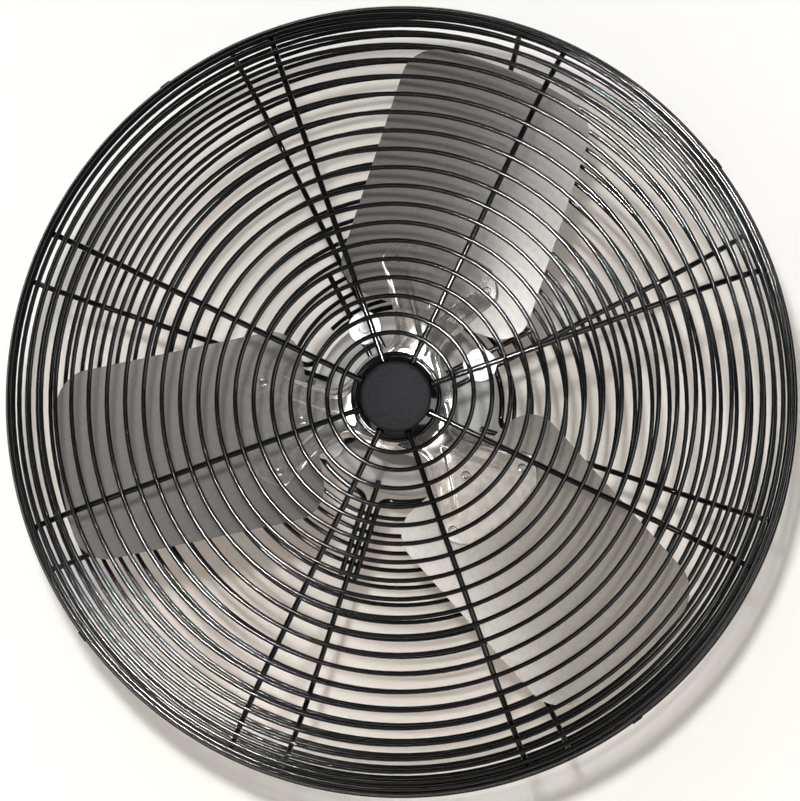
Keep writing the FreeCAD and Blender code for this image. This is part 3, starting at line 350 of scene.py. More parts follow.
@dataclass(frozen=True)
class Finish:
    """A finish: its two tones, how it shines, and the size of its mottle and its grain in millimetres."""

    name: str
    tone: str
    second_tone: str
    roughness: float
    mottle_mm: float
    grain_mm: float
    grain_height_mm: float
    metallic: float = 0.0
    roughness_spread: float = 0.06
    specular: float = 0.5
    stretch: Triple = (1.0, 1.0, 1.0)
    tone_range: Pair = (0.35, 0.65)
    grain_range: Pair = (0.3, 0.7)
    mottle_detail: float = 4.0
    grain_detail: float = 2.0

    def material(self) -> Material:
        """Build the material: noise mixes the tones, finer noise sets the roughness and the bump.

        Returns:
            The material, on Object coordinates.
        """
        material = bpy.data.materials.new(self.name)
        material.use_nodes = True
        tree = material.node_tree
        shader = tree.nodes["Principled BSDF"]
        shader.inputs["Metallic"].default_value = self.metallic
        shader.inputs["Specular IOR Level"].default_value = self.specular
        place = add_node(tree, "ShaderNodeTexCoord").outputs["Object"]
        stretched = add_node(tree, "ShaderNodeMapping", {"Scale": self.stretch}, {"Vector": place}).outputs[0]
        mottle = add_node(tree, "ShaderNodeTexNoise", {
            "Scale": per_metre(self.mottle_mm), "Detail": self.mottle_detail}, {"Vector": stretched})
        grain = add_node(tree, "ShaderNodeTexNoise", {
            "Scale": per_metre(self.grain_mm), "Detail": self.grain_detail}, {"Vector": stretched})
        tones = add_node(tree, "ShaderNodeValToRGB", links={"Fac": mottle.outputs["Fac"]})
        stops = zip(tones.color_ramp.elements, self.tone_range, (self.tone, self.second_tone))
        for stop, position, tone in stops:
            stop.position = position
            stop.color = linear(tone)
        rough = add_node(tree, "ShaderNodeMapRange", {
            "From Min": self.grain_range[0], "From Max": self.grain_range[1],
            "To Min": self.roughness - self.roughness_spread,
            "To Max": self.roughness + self.roughness_spread,
        }, {"Value": grain.outputs["Fac"]})
        bump = add_node(tree, "ShaderNodeBump", {"Strength": 1.0, "Distance": self.grain_height_mm * MM},
                        {"Height": grain.outputs["Fac"]})
        tree.links.new(tones.outputs["Color"], shader.inputs["Base Color"])
        tree.links.new(rough.outputs["Result"], shader.inputs["Roughness"])
        tree.links.new(bump.outputs["Normal"], shader.inputs["Normal"])
        return material


@dataclass
class Palette:
    """All finishes of the fan, each made into its material once."""

    # Gloss black powder coat on wire: deep black, sharp highlights and a faint orange peel.
    powder_coat: Material = field(default_factory=Finish(
        "gloss black powder coat", "#040405", "#070708", roughness=0.06, roughness_spread=0.01,
        mottle_mm=9.0, grain_mm=1.4, grain_height_mm=0.0008, specular=0.2).material)
    # Moulded ABS cap with a spark-eroded grain: satin black with a fine sparkle.
    grained_abs: Material = field(default_factory=Finish(
        "grained black ABS", "#1b1d20", "#232528", roughness=0.45, roughness_spread=0.05,
        mottle_mm=2.0, grain_mm=0.8, grain_height_mm=0.03, specular=0.03).material)
    # Galvanised mill sheet: soft grey metal with a small, faint spangle.
    galvanised: Material = field(default_factory=Finish(
        "galvanised mill sheet", "#9a9793", "#a29f9b", metallic=0.62, roughness=0.26, roughness_spread=0.005,
        mottle_mm=4.0, grain_mm=1.1, grain_height_mm=0.0005).material)
    # Bright cold-rolled steel, pressed: clean reflections over a mottled pale grey.
    bright_steel: Material = field(default_factory=Finish(
        "bright pressed steel", "#b8b5b1", "#cecbc7", metallic=0.78, roughness=0.15, roughness_spread=0.02,
        mottle_mm=6.0, grain_mm=1.4, grain_height_mm=0.0015).material)
    # Bright zinc plate on fasteners: nearly white metal with soft reflections.
    zinc: Material = field(default_factory=Finish(
        "bright zinc plate", "#d4d4d6", "#dededf", metallic=1.0, roughness=0.6, roughness_spread=0.03,
        mottle_mm=4.0, grain_mm=0.9, grain_height_mm=0.002).material)
    # Zinc plate burnished by the riveting die: darker than the washers, with small sharp reflections.
    burnished_zinc: Material = field(default_factory=Finish(
        "burnished zinc plate", "#b0aeab", "#bcbab7", metallic=0.85, roughness=0.2, roughness_spread=0.03,
        mottle_mm=4.0, grain_mm=0.9, grain_height_mm=0.002).material)
    # Sprayed grey enamel on castings: pale, half gloss, slightly uneven.
    enamel: Material = field(default_factory=Finish(
        "light grey enamel", "#adaca9", "#b5b4b1", roughness=0.42,
        mottle_mm=12.0, grain_mm=1.5, grain_height_mm=0.03, specular=0.12).material)
    # Turned carbon steel: darker than zinc, with rings of the tool.
    turned_steel: Material = field(default_factory=Finish(
        "turned carbon steel", "#8f8f90", "#a09f9f", metallic=1.0, roughness=0.3,
        mottle_mm=5.0, grain_mm=0.6, grain_height_mm=0.01, stretch=(1.0, 8.0, 1.0)).material)
    # Stacked electrical sheet: dull dark metal with fine layers along the axis.
    lamination: Material = field(default_factory=Finish(
        "stacked electrical sheet", "#4f5254", "#63666a", metallic=1.0, roughness=0.5,
        mottle_mm=8.0, grain_mm=0.6, grain_height_mm=0.03, stretch=(1.0, 20.0, 1.0)).material)
    # Die-cast aluminium: soft grey with a fine cast skin.
    aluminium: Material = field(default_factory=Finish(
        "die-cast aluminium", "#b4b5b7", "#c5c6c8", metallic=1.0, roughness=0.42,
        mottle_mm=6.0, grain_mm=0.9, grain_height_mm=0.03).material)
    # Enamelled copper wire under varnish: brown with darker turns.
    copper: Material = field(default_factory=Finish(
        "varnished copper winding", "#7a3d1c", "#96502a", metallic=0.6, roughness=0.32,
        mottle_mm=5.0, grain_mm=1.0, grain_height_mm=0.2, stretch=(1.0, 6.0, 1.0)).material)
    # Black nitrile rubber: matte, very dark.
    rubber: Material = field(default_factory=Finish(
        "black nitrile rubber", "#1b1b1b", "#232323", roughness=0.7,
        mottle_mm=4.0, grain_mm=0.8, grain_height_mm=0.03).material)
    # Moulded nylon gland: dark satin plastic.
    nylon: Material = field(default_factory=Finish(
        "black nylon", "#1e1e1f", "#27272a", roughness=0.45,
        mottle_mm=5.0, grain_mm=0.8, grain_height_mm=0.02).material)

    def dress_solids(self) -> None:
        """Give every solid the material of its slot in the record."""
        by_slot = {
            "black_powder_coat": self.powder_coat, "satin_black_plastic": self.grained_abs,
            "galvanised_sheet": self.galvanised, "bright_steel_sheet": self.bright_steel,
            "zinc_steel": self.zinc, "grey_enamel": self.enamel, "machined_steel": self.turned_steel,
            "lamination_steel": self.lamination, "cast_aluminium": self.aluminium,
            "copper_winding": self.copper, "black_rubber": self.rubber, "black_plastic": self.nylon,
        }
        for part in frame["record"]["subparts"]:
            solid = frame["nodes"][part["node"]]
            solid.data.materials.clear()
            solid.data.materials.append(by_slot[part["material_slot"]])
            LOG.info("%s: solid in %s", part["node"], part["material_slot"])


@dataclass
class Basket:
    """Sizes that both halves of the wire basket share, and the wires made from them."""

    spiral_wire: float = 4.0
    spoke_wire: float = 5.0
    rim_wire: float = 6.0
    weld_set: float = 0.3
    pitch: float = 15.5
    rim_radius: float = 342.0
    rim_plane: float = -245.5
    rim_half_space: float = 3.15
    rim_gap: float = 0.3
    shoulder: float = 88.0
    steps_per_turn: int = 120
    flat_steps: int = 12
    bend_steps: int = 25
    short_steps: int = 8
    rim_steps: int = 240
    rim_sides: int = 16

    @property
    def side_radius(self) -> float:
        """Centreline of the spokes at the rim."""
        return self.rim_radius - (self.rim_wire + self.spoke_wire) / 2 + self.weld_set

    @property
    def flat_radius(self) -> float:
        """Where the flat face ends and the shoulder begins."""
        return self.side_radius - self.shoulder

    @property
    def lift(self) -> float:
        """How far the spiral lies outside the spokes."""
        return (self.spiral_wire + self.spoke_wire) / 2 - self.weld_set

    def rim_y(self, half: Half) -> float:
        """Place of a half's rim ring along the axis."""
        return self.rim_plane - half.inward * self.rim_half_space

    def profile(self, reach: np.ndarray, lift: float) -> tuple[np.ndarray, np.ndarray]:
        """Radius and depth behind the face, at distances along the basket's profile.

        The profile is flat, then a quarter circle into the side, then straight.

        Args:
            reach: Distances along the profile.
            lift: How far the profile lies outside the spokes.

        Returns:
            Radius and depth, as arrays.
        """
        bend = self.shoulder + lift
        turn = np.clip((reach - self.flat_radius) / bend, 0, QUARTER_TURN)
        past = np.maximum(0, reach - self.flat_radius - bend * QUARTER_TURN)
        radius = np.minimum(reach, self.flat_radius) + bend * np.sin(turn)
        return radius, self.shoulder - bend * np.cos(turn) + past

    def spiral(self, half: Half, start: float, angle: float, lead_in: float) -> Sheet:
        """The spiral: its reach along the profile grows by one pitch each turn, after a round lead-in.

        It ends on the shoulder, where it lies against the rim ring.

        Args:
            half: Which half it is on.
            start: Its first radius.
            angle: Where it starts.
            lead_in: Turns before it begins to grow.

        Returns:
            The wire's grid.
        """
        bend = self.shoulder + self.lift
        rim_depth = half.inward * (self.rim_y(half) - half.wire_y)
        end_depth = rim_depth - (self.rim_wire + self.spiral_wire) / 2 + self.weld_set
        end = self.flat_radius + bend * math.acos((self.shoulder - end_depth) / bend)
        turns = lead_in + (end - start) / self.pitch
        t = np.linspace(0, turns, int(turns * self.steps_per_turn))
        radius, depth = self.profile(start + self.pitch * np.maximum(0, t - lead_in), self.lift)
        theta = math.radians(angle) + half.inward * FULL_TURN * t
        y = half.wire_y + half.inward * depth
        path = np.stack([radius * np.cos(theta), y, radius * np.sin(theta)], axis=-1)
        return wire(path, self.spiral_wire, AXIS)

    def bent_spoke(self, half: Half, start: float, offset: float = 0.0) -> Sheet:
        """A spoke along +X: straight, round the shoulder by the profile and on to the rim.

        Args:
            half: Which half it is on.
            start: Its first radius.
            offset: How far it lies beside the X axis.

        Returns:
            The wire's grid.
        """
        bend_end = self.flat_radius + self.shoulder * QUARTER_TURN
        side = abs(self.rim_plane - half.wire_y) - self.shoulder - self.rim_gap / 2
        reach = np.concatenate([
            np.linspace(start, self.flat_radius, self.flat_steps),
            np.linspace(self.flat_radius, bend_end, self.bend_steps)[1:],
            [bend_end + side],
        ])
        radius, depth = self.profile(reach, 0.0)
        path = np.stack([radius, half.wire_y + half.inward * depth, np.full_like(radius, offset)], axis=-1)
        return wire(path, self.spoke_wire, ASIDE)

    def rim(self, half: Half) -> Sheet:
        """The rim ring: a wire on a circle about the axis.

        Args:
            half: Which half it is on.

        Returns:
            The wire's grid.
        """
        theta = np.linspace(0, FULL_TURN, self.rim_steps, endpoint=False)
        y = np.full_like(theta, self.rim_y(half))
        path = np.stack([self.rim_radius * np.cos(theta), y, self.rim_radius * np.sin(theta)], axis=-1)
        return wire(path, self.rim_wire, AXIS, closed=True, sides=self.rim_sides)


@dataclass
class FrontHalf:
    """The front half of the basket, with its hub dish and cap."""

    basket: Basket
    palette: Palette
    slot: str = "black_powder_coat"
    spokes: int = 8
    first_spoke: float = 19.4
    spoke_start: float = 31.0
    spiral_start: float = 47.0
    spiral_angle: float = 109.4
    lead_in: float = 0.5
    dish_radius: float = 38.5
    # The dish's section as (distance in from its rim, depth behind its face, rounding of the corner):
    # from the bore along the web to the groove and the lip in front, and back behind them.
    dish_section: tuple[Triple, ...] = (
        (35.6, 0.0, 0.2), (10.0, 0.0, 0.6), (3.4, 1.5, 0.8), (2.0, 0.2, 0.9), (0.0, 1.4, 1.4),
        (0.0, 4.0, 0.5), (1.6, 4.0, 0.5), (3.6, 3.2, 0.8), (10.0, 2.0, 0.6), (35.6, 2.0, 0.2))
    nugget_half: Triple = (2.6, 2.2, 3.8)
    nugget_shift: float = 1.2
    cap_radius: float = 30.0
    cap_front: float = -346.0
    cap_edge: float = 3.2
    cap_crown: float = 1.1
    cap_swing: float = 0.22
    cap_inset: float = 0.2

    @property
    def dish_face(self) -> float:
        """Front of the dish, which the spokes are set into."""
        return Half.FRONT.wire_y + self.basket.spoke_wire / 2 - self.basket.weld_set

    def around(self, sheet: Sheet) -> list[Sheet]:
        """Copies of a grid at every spoke."""
        return [sheet.turned(self.first_spoke + 360.0 * k / self.spokes) for k in range(self.spokes)]

    def dish(self) -> list[Sheet]:
        """The pressed dish: a web that slopes into a groove and a rolled lip, with a nugget at each spoke.

        Returns:
            The grids of the dish and of its nuggets.
        """
        face, section = self.dish_face, self.dish_section
        outline = [(self.dish_radius - inset, face + depth, rounding) for inset, depth, rounding in section]
        return [spun(rounded(outline))] + self.around(self.nugget())

    def nugget(self) -> Sheet:
        """A weld nugget where a spoke meets the dish: an ellipsoid by its polar angle and its turn.

        Returns:
            The nugget's grid, on the spoke along +X.
        """
        polar = np.linspace(0, math.pi, 9)[:, None]
        turn = np.linspace(0, FULL_TURN, 16, endpoint=False)[None, :]
        length, height, width = self.nugget_half
        x = self.spoke_start + self.nugget_shift + length * np.cos(polar) + 0 * turn
        y = self.dish_face - self.nugget_shift + height * np.sin(polar) * np.sin(turn)
        z = width * np.sin(polar) * np.cos(turn)
        return Sheet(np.stack([x, y, z], axis=-1), close_v=True)

    def cap(self) -> Sheet:
        """The cap: a round disc whose edge is drawn out a little towards each spoke.

        The front is a low crown, by the square of the radius, that runs into the side through a quarter
        ellipse. The radius swings with the cosine of eight times the angle, by its cube from the middle.

        Returns:
            The cap's grid.
        """
        flat = self.cap_radius - self.cap_edge
        share = np.linspace(0, 1, 10)
        bend = np.linspace(0, QUARTER_TURN, 9)[1:]
        edge_drop = self.cap_crown + (self.cap_edge - self.cap_crown) * (1 - np.cos(bend))
        radius = np.concatenate([share * flat, flat + self.cap_edge * np.sin(bend), [self.cap_radius, 0.0]])
        drop = np.concatenate([self.cap_crown * share ** 2, edge_drop])
        height = np.concatenate([self.cap_front + drop, [self.dish_face, self.dish_face]])
        turn = np.linspace(0, FULL_TURN, 160, endpoint=False)[None, :]
        from_spoke = turn - math.radians(self.first_spoke)
        swing = self.cap_swing * np.cos(self.spokes * from_spoke) - self.cap_inset
        grown = radius[:, None] + swing * (radius[:, None] / self.cap_radius) ** 3
        y = np.broadcast_to(height[:, None], grown.shape)
        return Sheet(np.stack([grown * np.cos(turn), y, grown * np.sin(turn)], axis=-1), close_v=True)

    def build(self) -> None:
        """Make the pieces of the front half."""
        b, coat, slot = self.basket, self.palette.powder_coat, self.slot
        spiral = b.spiral(Half.FRONT, self.spiral_start, self.spiral_angle, self.lead_in)
        make_piece("front_spiral_wire", [spiral], ROOT, coat,
                   ("front_face_spiral", "front_shoulder_spiral"))
        spokes = self.around(b.bent_spoke(Half.FRONT, self.spoke_start))
        make_piece("front_spoke_wires", spokes, ROOT, coat, ("front_spokes",))
        make_piece("front_rim_wire", [b.rim(Half.FRONT)], ROOT, coat, ("front_rim_ring",))
        make_piece("front_dish_pressing", self.dish(), ROOT, coat, ("front_hub_dish",))
        make_piece("front_cap_moulding", [self.cap()], ROOT, self.palette.grained_abs,
                   ("centre_cap",))


@dataclass
class RearHalf:
    """The rear half of the basket, with the bolts and washers that clamp it to the motor."""

    basket: Basket
    palette: Palette
    slot: str = "black_powder_coat"
    bolt_slot: str = "zinc_steel"
    spoke_angle: float = 72.0
    spoke_start: float = 72.0
    bolt_angle: float = 27.0
    bolt_circle: float = 77.0
    pair_offset: float = 7.0
    pair_start: float = 42.0
    short_end: float = 136.0
    spiral_start: float = 94.0
    spiral_angle: float = 134.0
    hoop_radius: float = 88.5
    hoop_leg_offset: float = 6.5
    hoop_leg_end: float = 164.0
    hoop_bend: float = 9.0
    hoop_pull: float = 5.58
    washer_radius: float = 15.0
    washer_bore: float = 3.4
    washer_thickness: float = 2.0
    # Roundings of the washer's corners: bore and rim behind, then rim and bore in front.
    washer_roundings: tuple[float, ...] = (0.2, 0.5, 0.7, 0.4)
    head_flats: float = 10.0
    head_height: float = 4.0
    chamfer_radius: float = 5.3
    chamfer_start: float = 0.8
    chamfer_end: float = 0.35
    head_face_radius: float = 4.6
    shank_radius: float = 3.0
    shank_end: float = -141.0
    head_sharpness: float = 25.0

    @property
    def clamp_y(self) -> float:
        """Front of the spokes, where the washers lie."""
        return Half.REAR.wire_y - self.basket.spoke_wire / 2

    def four(self, sheet: Sheet, first: float) -> list[Sheet]:
        """Four copies of a grid, a quarter turn apart."""
        return [sheet.turned(first + 90.0 * k) for k in range(4)]

    def hoop(self) -> Sheet:
        """A hoop wire from beside one single spoke to beside the next.

        Each leg is straight, and a cubic curve turns it into the circle and back past the mounting wires.
        The second leg is the first one mirrored, by a swap of x and z.

        Returns:
            The wire's grid.
        """
        level = Half.REAR.wire_y
        behind = level + self.basket.spoke_wire - self.basket.weld_set
        corner = (self.hoop_leg_offset + self.hoop_bend) / self.hoop_radius
        theta = np.linspace(corner, QUARTER_TURN - corner, 40)
        x, z = self.hoop_radius * np.cos(theta), self.hoop_radius * np.sin(theta)
        arc = np.stack([x, np.full_like(theta, behind), z], axis=-1)
        heading = np.array([-math.sin(corner), 0.0, math.cos(corner)])
        inner = np.array([self.hoop_radius + self.hoop_bend, level, self.hoop_leg_offset])
        leaving = inner - np.array([self.hoop_pull, 0.0, 0.0])
        joining = arc[0] - heading * self.hoop_pull
        t = np.linspace(0, 1, 14)[1:-1, None]
        bend = (1 - t) ** 3 * inner + 3 * t * (1 - t) ** 2 * leaving
        bend = bend + 3 * t ** 2 * (1 - t) * joining + t ** 3 * arc[0]
        leg = np.linspace([self.hoop_leg_end, level, self.hoop_leg_offset], inner, self.basket.short_steps)
        near = np.concatenate([leg, bend])
        far = near[::-1][:, [2, 1, 0]]
        return wire(np.concatenate([near, arc, far]), self.basket.spoke_wire, AXIS)

    def washer(self) -> Sheet:
        """A washer at the bolt: a flat ring with rounded edges, spun and moved out.

        Returns:
            The washer's grid.
        """
        back, front = self.clamp_y, self.clamp_y - self.washer_thickness
        bore, rim = self.washer_bore, self.washer_radius
        corners = [(bore, back), (rim, back), (rim, front), (bore, front)]
        outline = [(*corner, rounding) for corner, rounding in zip(corners, self.washer_roundings)]
        return spun(rounded(outline), 64).moved_out(self.bolt_circle)

    def bolt(self) -> list[Sheet]:
        """A hexagon bolt: the head's outline goes from a hexagon to a circle over its chamfer.

        The hexagon's radius is half its flats over the cosine of the angle from the nearest flat's middle.

        Returns:
            The grids of head and shank.
        """
        back = self.clamp_y - self.washer_thickness
        front = back - self.head_height
        turn = np.linspace(0, FULL_TURN, 72, endpoint=False)
        folded = (turn + math.pi / 6) % (math.pi / 3) - math.pi / 6
        hexagon = self.head_flats / 2 / np.cos(folded)
        chamfer = np.minimum(hexagon, self.chamfer_radius)
        face = np.full_like(hexagon, self.head_face_radius)
        middle = np.zeros_like(hexagon)
        radius = np.stack([middle, hexagon, hexagon, chamfer, face, middle])
        heights = np.array([back, back, front + self.chamfer_start, front + self.chamfer_end, front, front])
        y = np.broadcast_to(heights[:, None], radius.shape)
        head = Sheet(np.stack([radius * np.cos(turn), y, radius * np.sin(turn)], axis=-1), close_v=True)
        end, side = self.shank_end, self.shank_radius
        shank = spun([(0, back), (side, back), (side, end), (0, end)], 32, closed=False)
        return [head.moved_out(self.bolt_circle), shank.moved_out(self.bolt_circle)]

    def build(self) -> None:
        """Make the pieces of the rear half."""
        b, coat, slot, zinc = self.basket, self.palette.powder_coat, self.slot, self.palette.zinc
        spiral = b.spiral(Half.REAR, self.spiral_start, self.spiral_angle, 0.0)
        make_piece("rear_spiral_wire", [spiral], ROOT, coat,
                   ("rear_face_spiral", "rear_shoulder_spiral"))
        spokes = self.four(b.bent_spoke(Half.REAR, self.spoke_start), self.spoke_angle)
        make_piece("rear_spoke_wires", spokes, ROOT, coat, ("rear_spokes",))
        long_wires = self.four(b.bent_spoke(Half.REAR, self.pair_start, -self.pair_offset), self.bolt_angle)
        make_piece("rear_long_wires", long_wires, ROOT, coat, ("rear_mount_wires",))
        ends = [(x, Half.REAR.wire_y, self.pair_offset) for x in (self.pair_start, self.short_end)]
        short_wire = wire(np.linspace(*ends, b.short_steps), b.spoke_wire, ASIDE)
        short_wires = self.four(short_wire, self.bolt_angle)
        make_piece("rear_pair_wires", short_wires, ROOT, coat, ("rear_short_wires",))
        hoops = self.four(self.hoop(), self.spoke_angle)
        make_piece("rear_hoop_wires", hoops, ROOT, coat, ("rear_hoops",))
        make_piece("rear_rim_wire", [b.rim(Half.REAR)], ROOT, coat, ("rear_rim_ring",))
        washers = self.four(self.washer(), self.bolt_angle)
        make_piece("fender_washers", washers, ROOT, zinc, ("guard_washers",))
        bolts = [sheet for part in self.bolt() for sheet in self.four(part, self.bolt_angle)]
        make_piece("hexagon_bolts", bolts, ROOT, zinc, ("guard_bolts",), self.head_sharpness)


@dataclass
class Propeller:
    """Blades, spider and rivets, which turn with the shaft."""

    palette: Palette
    count: int = 3
    angle: float = 71.7
    plane: float = -240.0
    pitch: float = 24.0
    camber: float = 430.0
    blade_sheet: float = 1.2
    half_width: float = 84.5
    root: float = 78.0
    tip: float = 305.0
    root_corner: float = 28.0
    tip_corner: float = 26.0
    blade_sharpness: float = 60.0
    spider_sheet: float = 1.6
    spider_sharpness: float = 50.0
    plate_gap: float = 0.05
    plate_tip: float = 140.0
    # The arm's half width at distances from the axis: the neck, the plate and its rounded end.
    arm_reach: tuple[float, ...] = (28.0, 37.0, 42.0, 47.0, 53.0, 60.0, 70.0, 80.0, 100.0, 110.0, 118.0,
                                    126.0, 133.0, 137.5, 140.0)
    arm_half_width: tuple[float, ...] = (34.0, 29.0, 25.0, 22.8, 22.0, 23.4, 28.3, 34.0, 45.5, 51.0, 53.0,
                                         51.8, 48.0, 43.5, 38.0)
    # Distances from the axis between which the disc becomes the plate, the plate's end becomes round, and
    # the ridge and the bead run out.
    twist_range: Pair = (42.0, 80.0)
    end_range: Pair = (90.0, 140.0)
    ridge_range: Pair = (86.0, 112.0)
    bead_range: Pair = (70.0, 96.0)
    ridge_height: float = 2.8
    ridge_foot: float = 5.5
    vee_start: float = 58.0
    vee_slope: float = 0.58
    vee_foot: Pair = (-2.0, 3.5)
    bead_height: float = 1.3
    bead_width: float = 2.6
    bead_inset: float = 6.0
    edge_width: float = 2.6
    edge_fall: float = 1.0
    disc: float = 47.0
    disc_bore: float = 8.0
    disc_back: float = 0.8
    disc_rounding: float = 0.4
    # The slope from the dome to the disc's edge as (distance in from the edge, height over the disc's flat
    # front, rounding of the corner).
    disc_slope: tuple[Triple, ...] = ((11.0, 2.2, 0.0), (1.0, 0.8, 0.6), (0.0, -0.2, 0.6))
    dome_radius: float = 28.0
    dome_height: float = 6.8
    dome_edge: float = 6.0
    # The rivet's head as (radius, height over the plate): a dimple, a ring and the outer slope.
    rivet_head: Outline = field(default_factory=lambda: [
        (0.0, 0.7), (1.6, 0.7), (2.4, 1.5), (3.0, 1.7), (3.8, 1.4), (4.3, 0.6), (4.4, 0.0)])
    rivet_shank: float = 2.4
    # The formed head as (radius, distance behind the blade).
    rivet_tail: Outline = field(default_factory=lambda: [(4.4, 0.0), (4.0, 1.8), (0.0, 2.0)])
    inner_rivet: float = 87.0
    outer_rivets: float = 122.0
    rivet_spread: float = 19.5

    @property
    def camber_centre(self) -> np.ndarray:
        """Centre of the circle that a blade's section lies on."""
        pitch = math.radians(self.pitch)
        return np.array([0.0, self.plane - self.camber * math.cos(pitch), -self.camber * math.sin(pitch)])

    def surface(self, across: np.ndarray, offset: float) -> np.ndarray:
        """Height of the blade's front face, or of a face offset from it towards the front.

        The section is an arc about a centre in front of the blade, turned by the pitch. A point at a
        sideways distance z lies on the circle, so y follows from the circle's equation.

        Args:
            across: Sideways distances from the blade's middle line.
            offset: Distance in front of the face.

        Returns:
            The y of each point.
        """
        _, centre_y, centre_z = self.camber_centre
        radius = self.camber - offset
        return centre_y + np.sqrt(radius ** 2 - (across - centre_z) ** 2)

    def blade_outline(self, rows: int = 60, columns: int = 36) -> tuple[np.ndarray, np.ndarray]:
        """Distances along and across the blade on a grid that fills its rounded outline.

        Rows crowd towards both ends. A row's half width shrinks within a corner's radius of the end,
        by the corner's circle. The tip follows a circle about the fan's axis.

        Args:
            rows: Points along the blade.
            columns: Points across it.

        Returns:
            The two grids.
        """
        share = (1 - np.cos(np.linspace(0, math.pi, rows))) / 2
        length = self.tip - self.root
        from_root = np.minimum(share * length, self.root_corner)
        from_tip = np.minimum((1 - share) * length, self.tip_corner)
        cut = self.root_corner - np.sqrt(self.root_corner ** 2 - (self.root_corner - from_root) ** 2)
        cut = cut + self.tip_corner - np.sqrt(self.tip_corner ** 2 - (self.tip_corner - from_tip) ** 2)
        z = np.linspace(-1, 1, columns)[None, :] * (self.half_width - cut)[:, None]
        tip = np.sqrt(self.tip ** 2 - z ** 2)
        x = self.root + share[:, None] * (tip - self.root)
        return x, z

    def blade(self) -> list[Sheet]:
        """One blade along +X: the front face, the back face one sheet behind it and the edge between.

        Returns:
            The three grids.
        """
        x, z = self.blade_outline()
        front = np.stack([x, self.surface(z, 0.0), z], axis=-1)
        back = np.stack([x, self.surface(z, -self.blade_sheet), z], axis=-1)
        return closed_plate(front, back)

    def arm_outline(self, rows: int = 110, columns: int = 75) -> tuple[np.ndarray, ...]:
        """Distances on a grid that fills the outline of an arm of the spider.

        The half width runs through its table, averaged over seven rows. The plate's end bows to a circle
        about the axis. Columns crowd towards the long edges by a sine.

        Args:
            rows: Points along the arm.
            columns: Points across it.

        Returns:
            Grids of the distance along the arm, across it, in from its long edge and in from its end.
        """
        reach = self.arm_reach[0] + np.linspace(0, 1, rows) * (self.plate_tip - self.arm_reach[0])
        half = np.interp(reach, self.arm_reach, self.arm_half_width)
        half = np.convolve(np.pad(half, 3, mode="edge"), np.ones(7) / 7, mode="valid")[:, None]
        z = np.sin(np.linspace(-QUARTER_TURN, QUARTER_TURN, columns))[None, :] * half
        sag = self.plate_tip - np.sqrt(self.plate_tip ** 2 - z ** 2)
        x = reach[:, None] - sag * smooth_step(reach[:, None], *self.end_range)
        return x, z, half - np.abs(z), (self.plate_tip - reach)[:, None]

    def arm(self) -> list[Sheet]:
        """One arm of the spider along +X, as a sheet pressed from disc to plate.

        The height eases from the flat disc to the blade's face. The neck stands up as one ridge that opens
        into two along a V, smooth steps at both feet, and each long edge carries a narrow bead, a bell
        curve, on top. The front face falls away along a quarter ellipse next to the outline.

        Returns:
            The grids of the front face, the back face and the edge.
        """
        x, z, from_side, from_end = self.arm_outline()
        flat = self.plane - self.spider_sheet
        face = flat + smooth_step(x, *self.twist_range) * (self.surface(z, self.spider_sheet) - flat)
        opening = self.vee_slope * (x - self.vee_start)
        inner = smooth_step(np.abs(z), opening + self.vee_foot[0], opening + self.vee_foot[1])
        outer = smooth_step(from_side, 0.0, self.ridge_foot)
        ridge = self.ridge_height * inner * outer * (1 - smooth_step(x, *self.ridge_range))
        bead = self.bead_height * np.exp(-((self.bead_inset - from_side) / self.bead_width) ** 2)
        bead = bead * (1 - smooth_step(x, *self.bead_range))
        nearness = np.clip(1 - np.minimum(from_side, from_end) / self.edge_width, 0.0, 1.0)
        fall = self.edge_fall * (1 - np.sqrt(1 - nearness ** 2))
        front = np.stack([x, face - ridge - bead + fall, z], axis=-1)
        back = np.stack([x, face + self.spider_sheet - self.plate_gap, z], axis=-1)
        return closed_plate(front, back)

    def disc_sheet(self) -> Sheet:
        """The spider's disc: a flat dome, a rounded shoulder and a slope down to a rounded edge.

        Returns:
            The disc's grid.
        """
        front, back = self.plane - self.spider_sheet, self.plane + self.disc_back
        top = front - self.dome_height
        outline = [(self.disc_bore, top), (self.dome_radius, top)]
        outline += fillet((self.dome_radius, top + self.dome_edge), self.dome_edge, -90, -45)
        slope = [(self.disc - inset, front - height, rounding) for inset, height, rounding in self.disc_slope]
        outline += rounded(slope + [(self.disc, back, self.disc_rounding), (self.disc_bore, back, 0.0)])
        return spun(outline, 120)

    def rivet(self, reach: float, across: float) -> Sheet:
        """A rivet, square to the face: its outline of radius and height goes round the face's normal.

        Args:
            reach: Its distance along the blade.
            across: Its distance from the blade's middle line.

        Returns:
            The rivet's grid.
        """
        point = np.array([0.0, float(self.surface(np.array(across), 0.0)), across])
        out = unit(self.camber_centre - point)
        side = np.array([1.0, 0.0, 0.0])
        third = np.cross(out, side)
        head = [(radius, self.spider_sheet + height) for radius, height in self.rivet_head]
        shank = [(self.rivet_shank, self.spider_sheet), (self.rivet_shank, -self.blade_sheet)]
        tail = [(radius, -self.blade_sheet - depth) for radius, depth in self.rivet_tail]
        radius, height = np.array(head + shank + tail).T[:, :, None, None]
        turn = np.linspace(0, FULL_TURN, 24, endpoint=False)[None, :, None]
        ring = np.cos(turn) * side + np.sin(turn) * third
        return Sheet(point + side * reach + height * out + radius * ring, close_v=True)

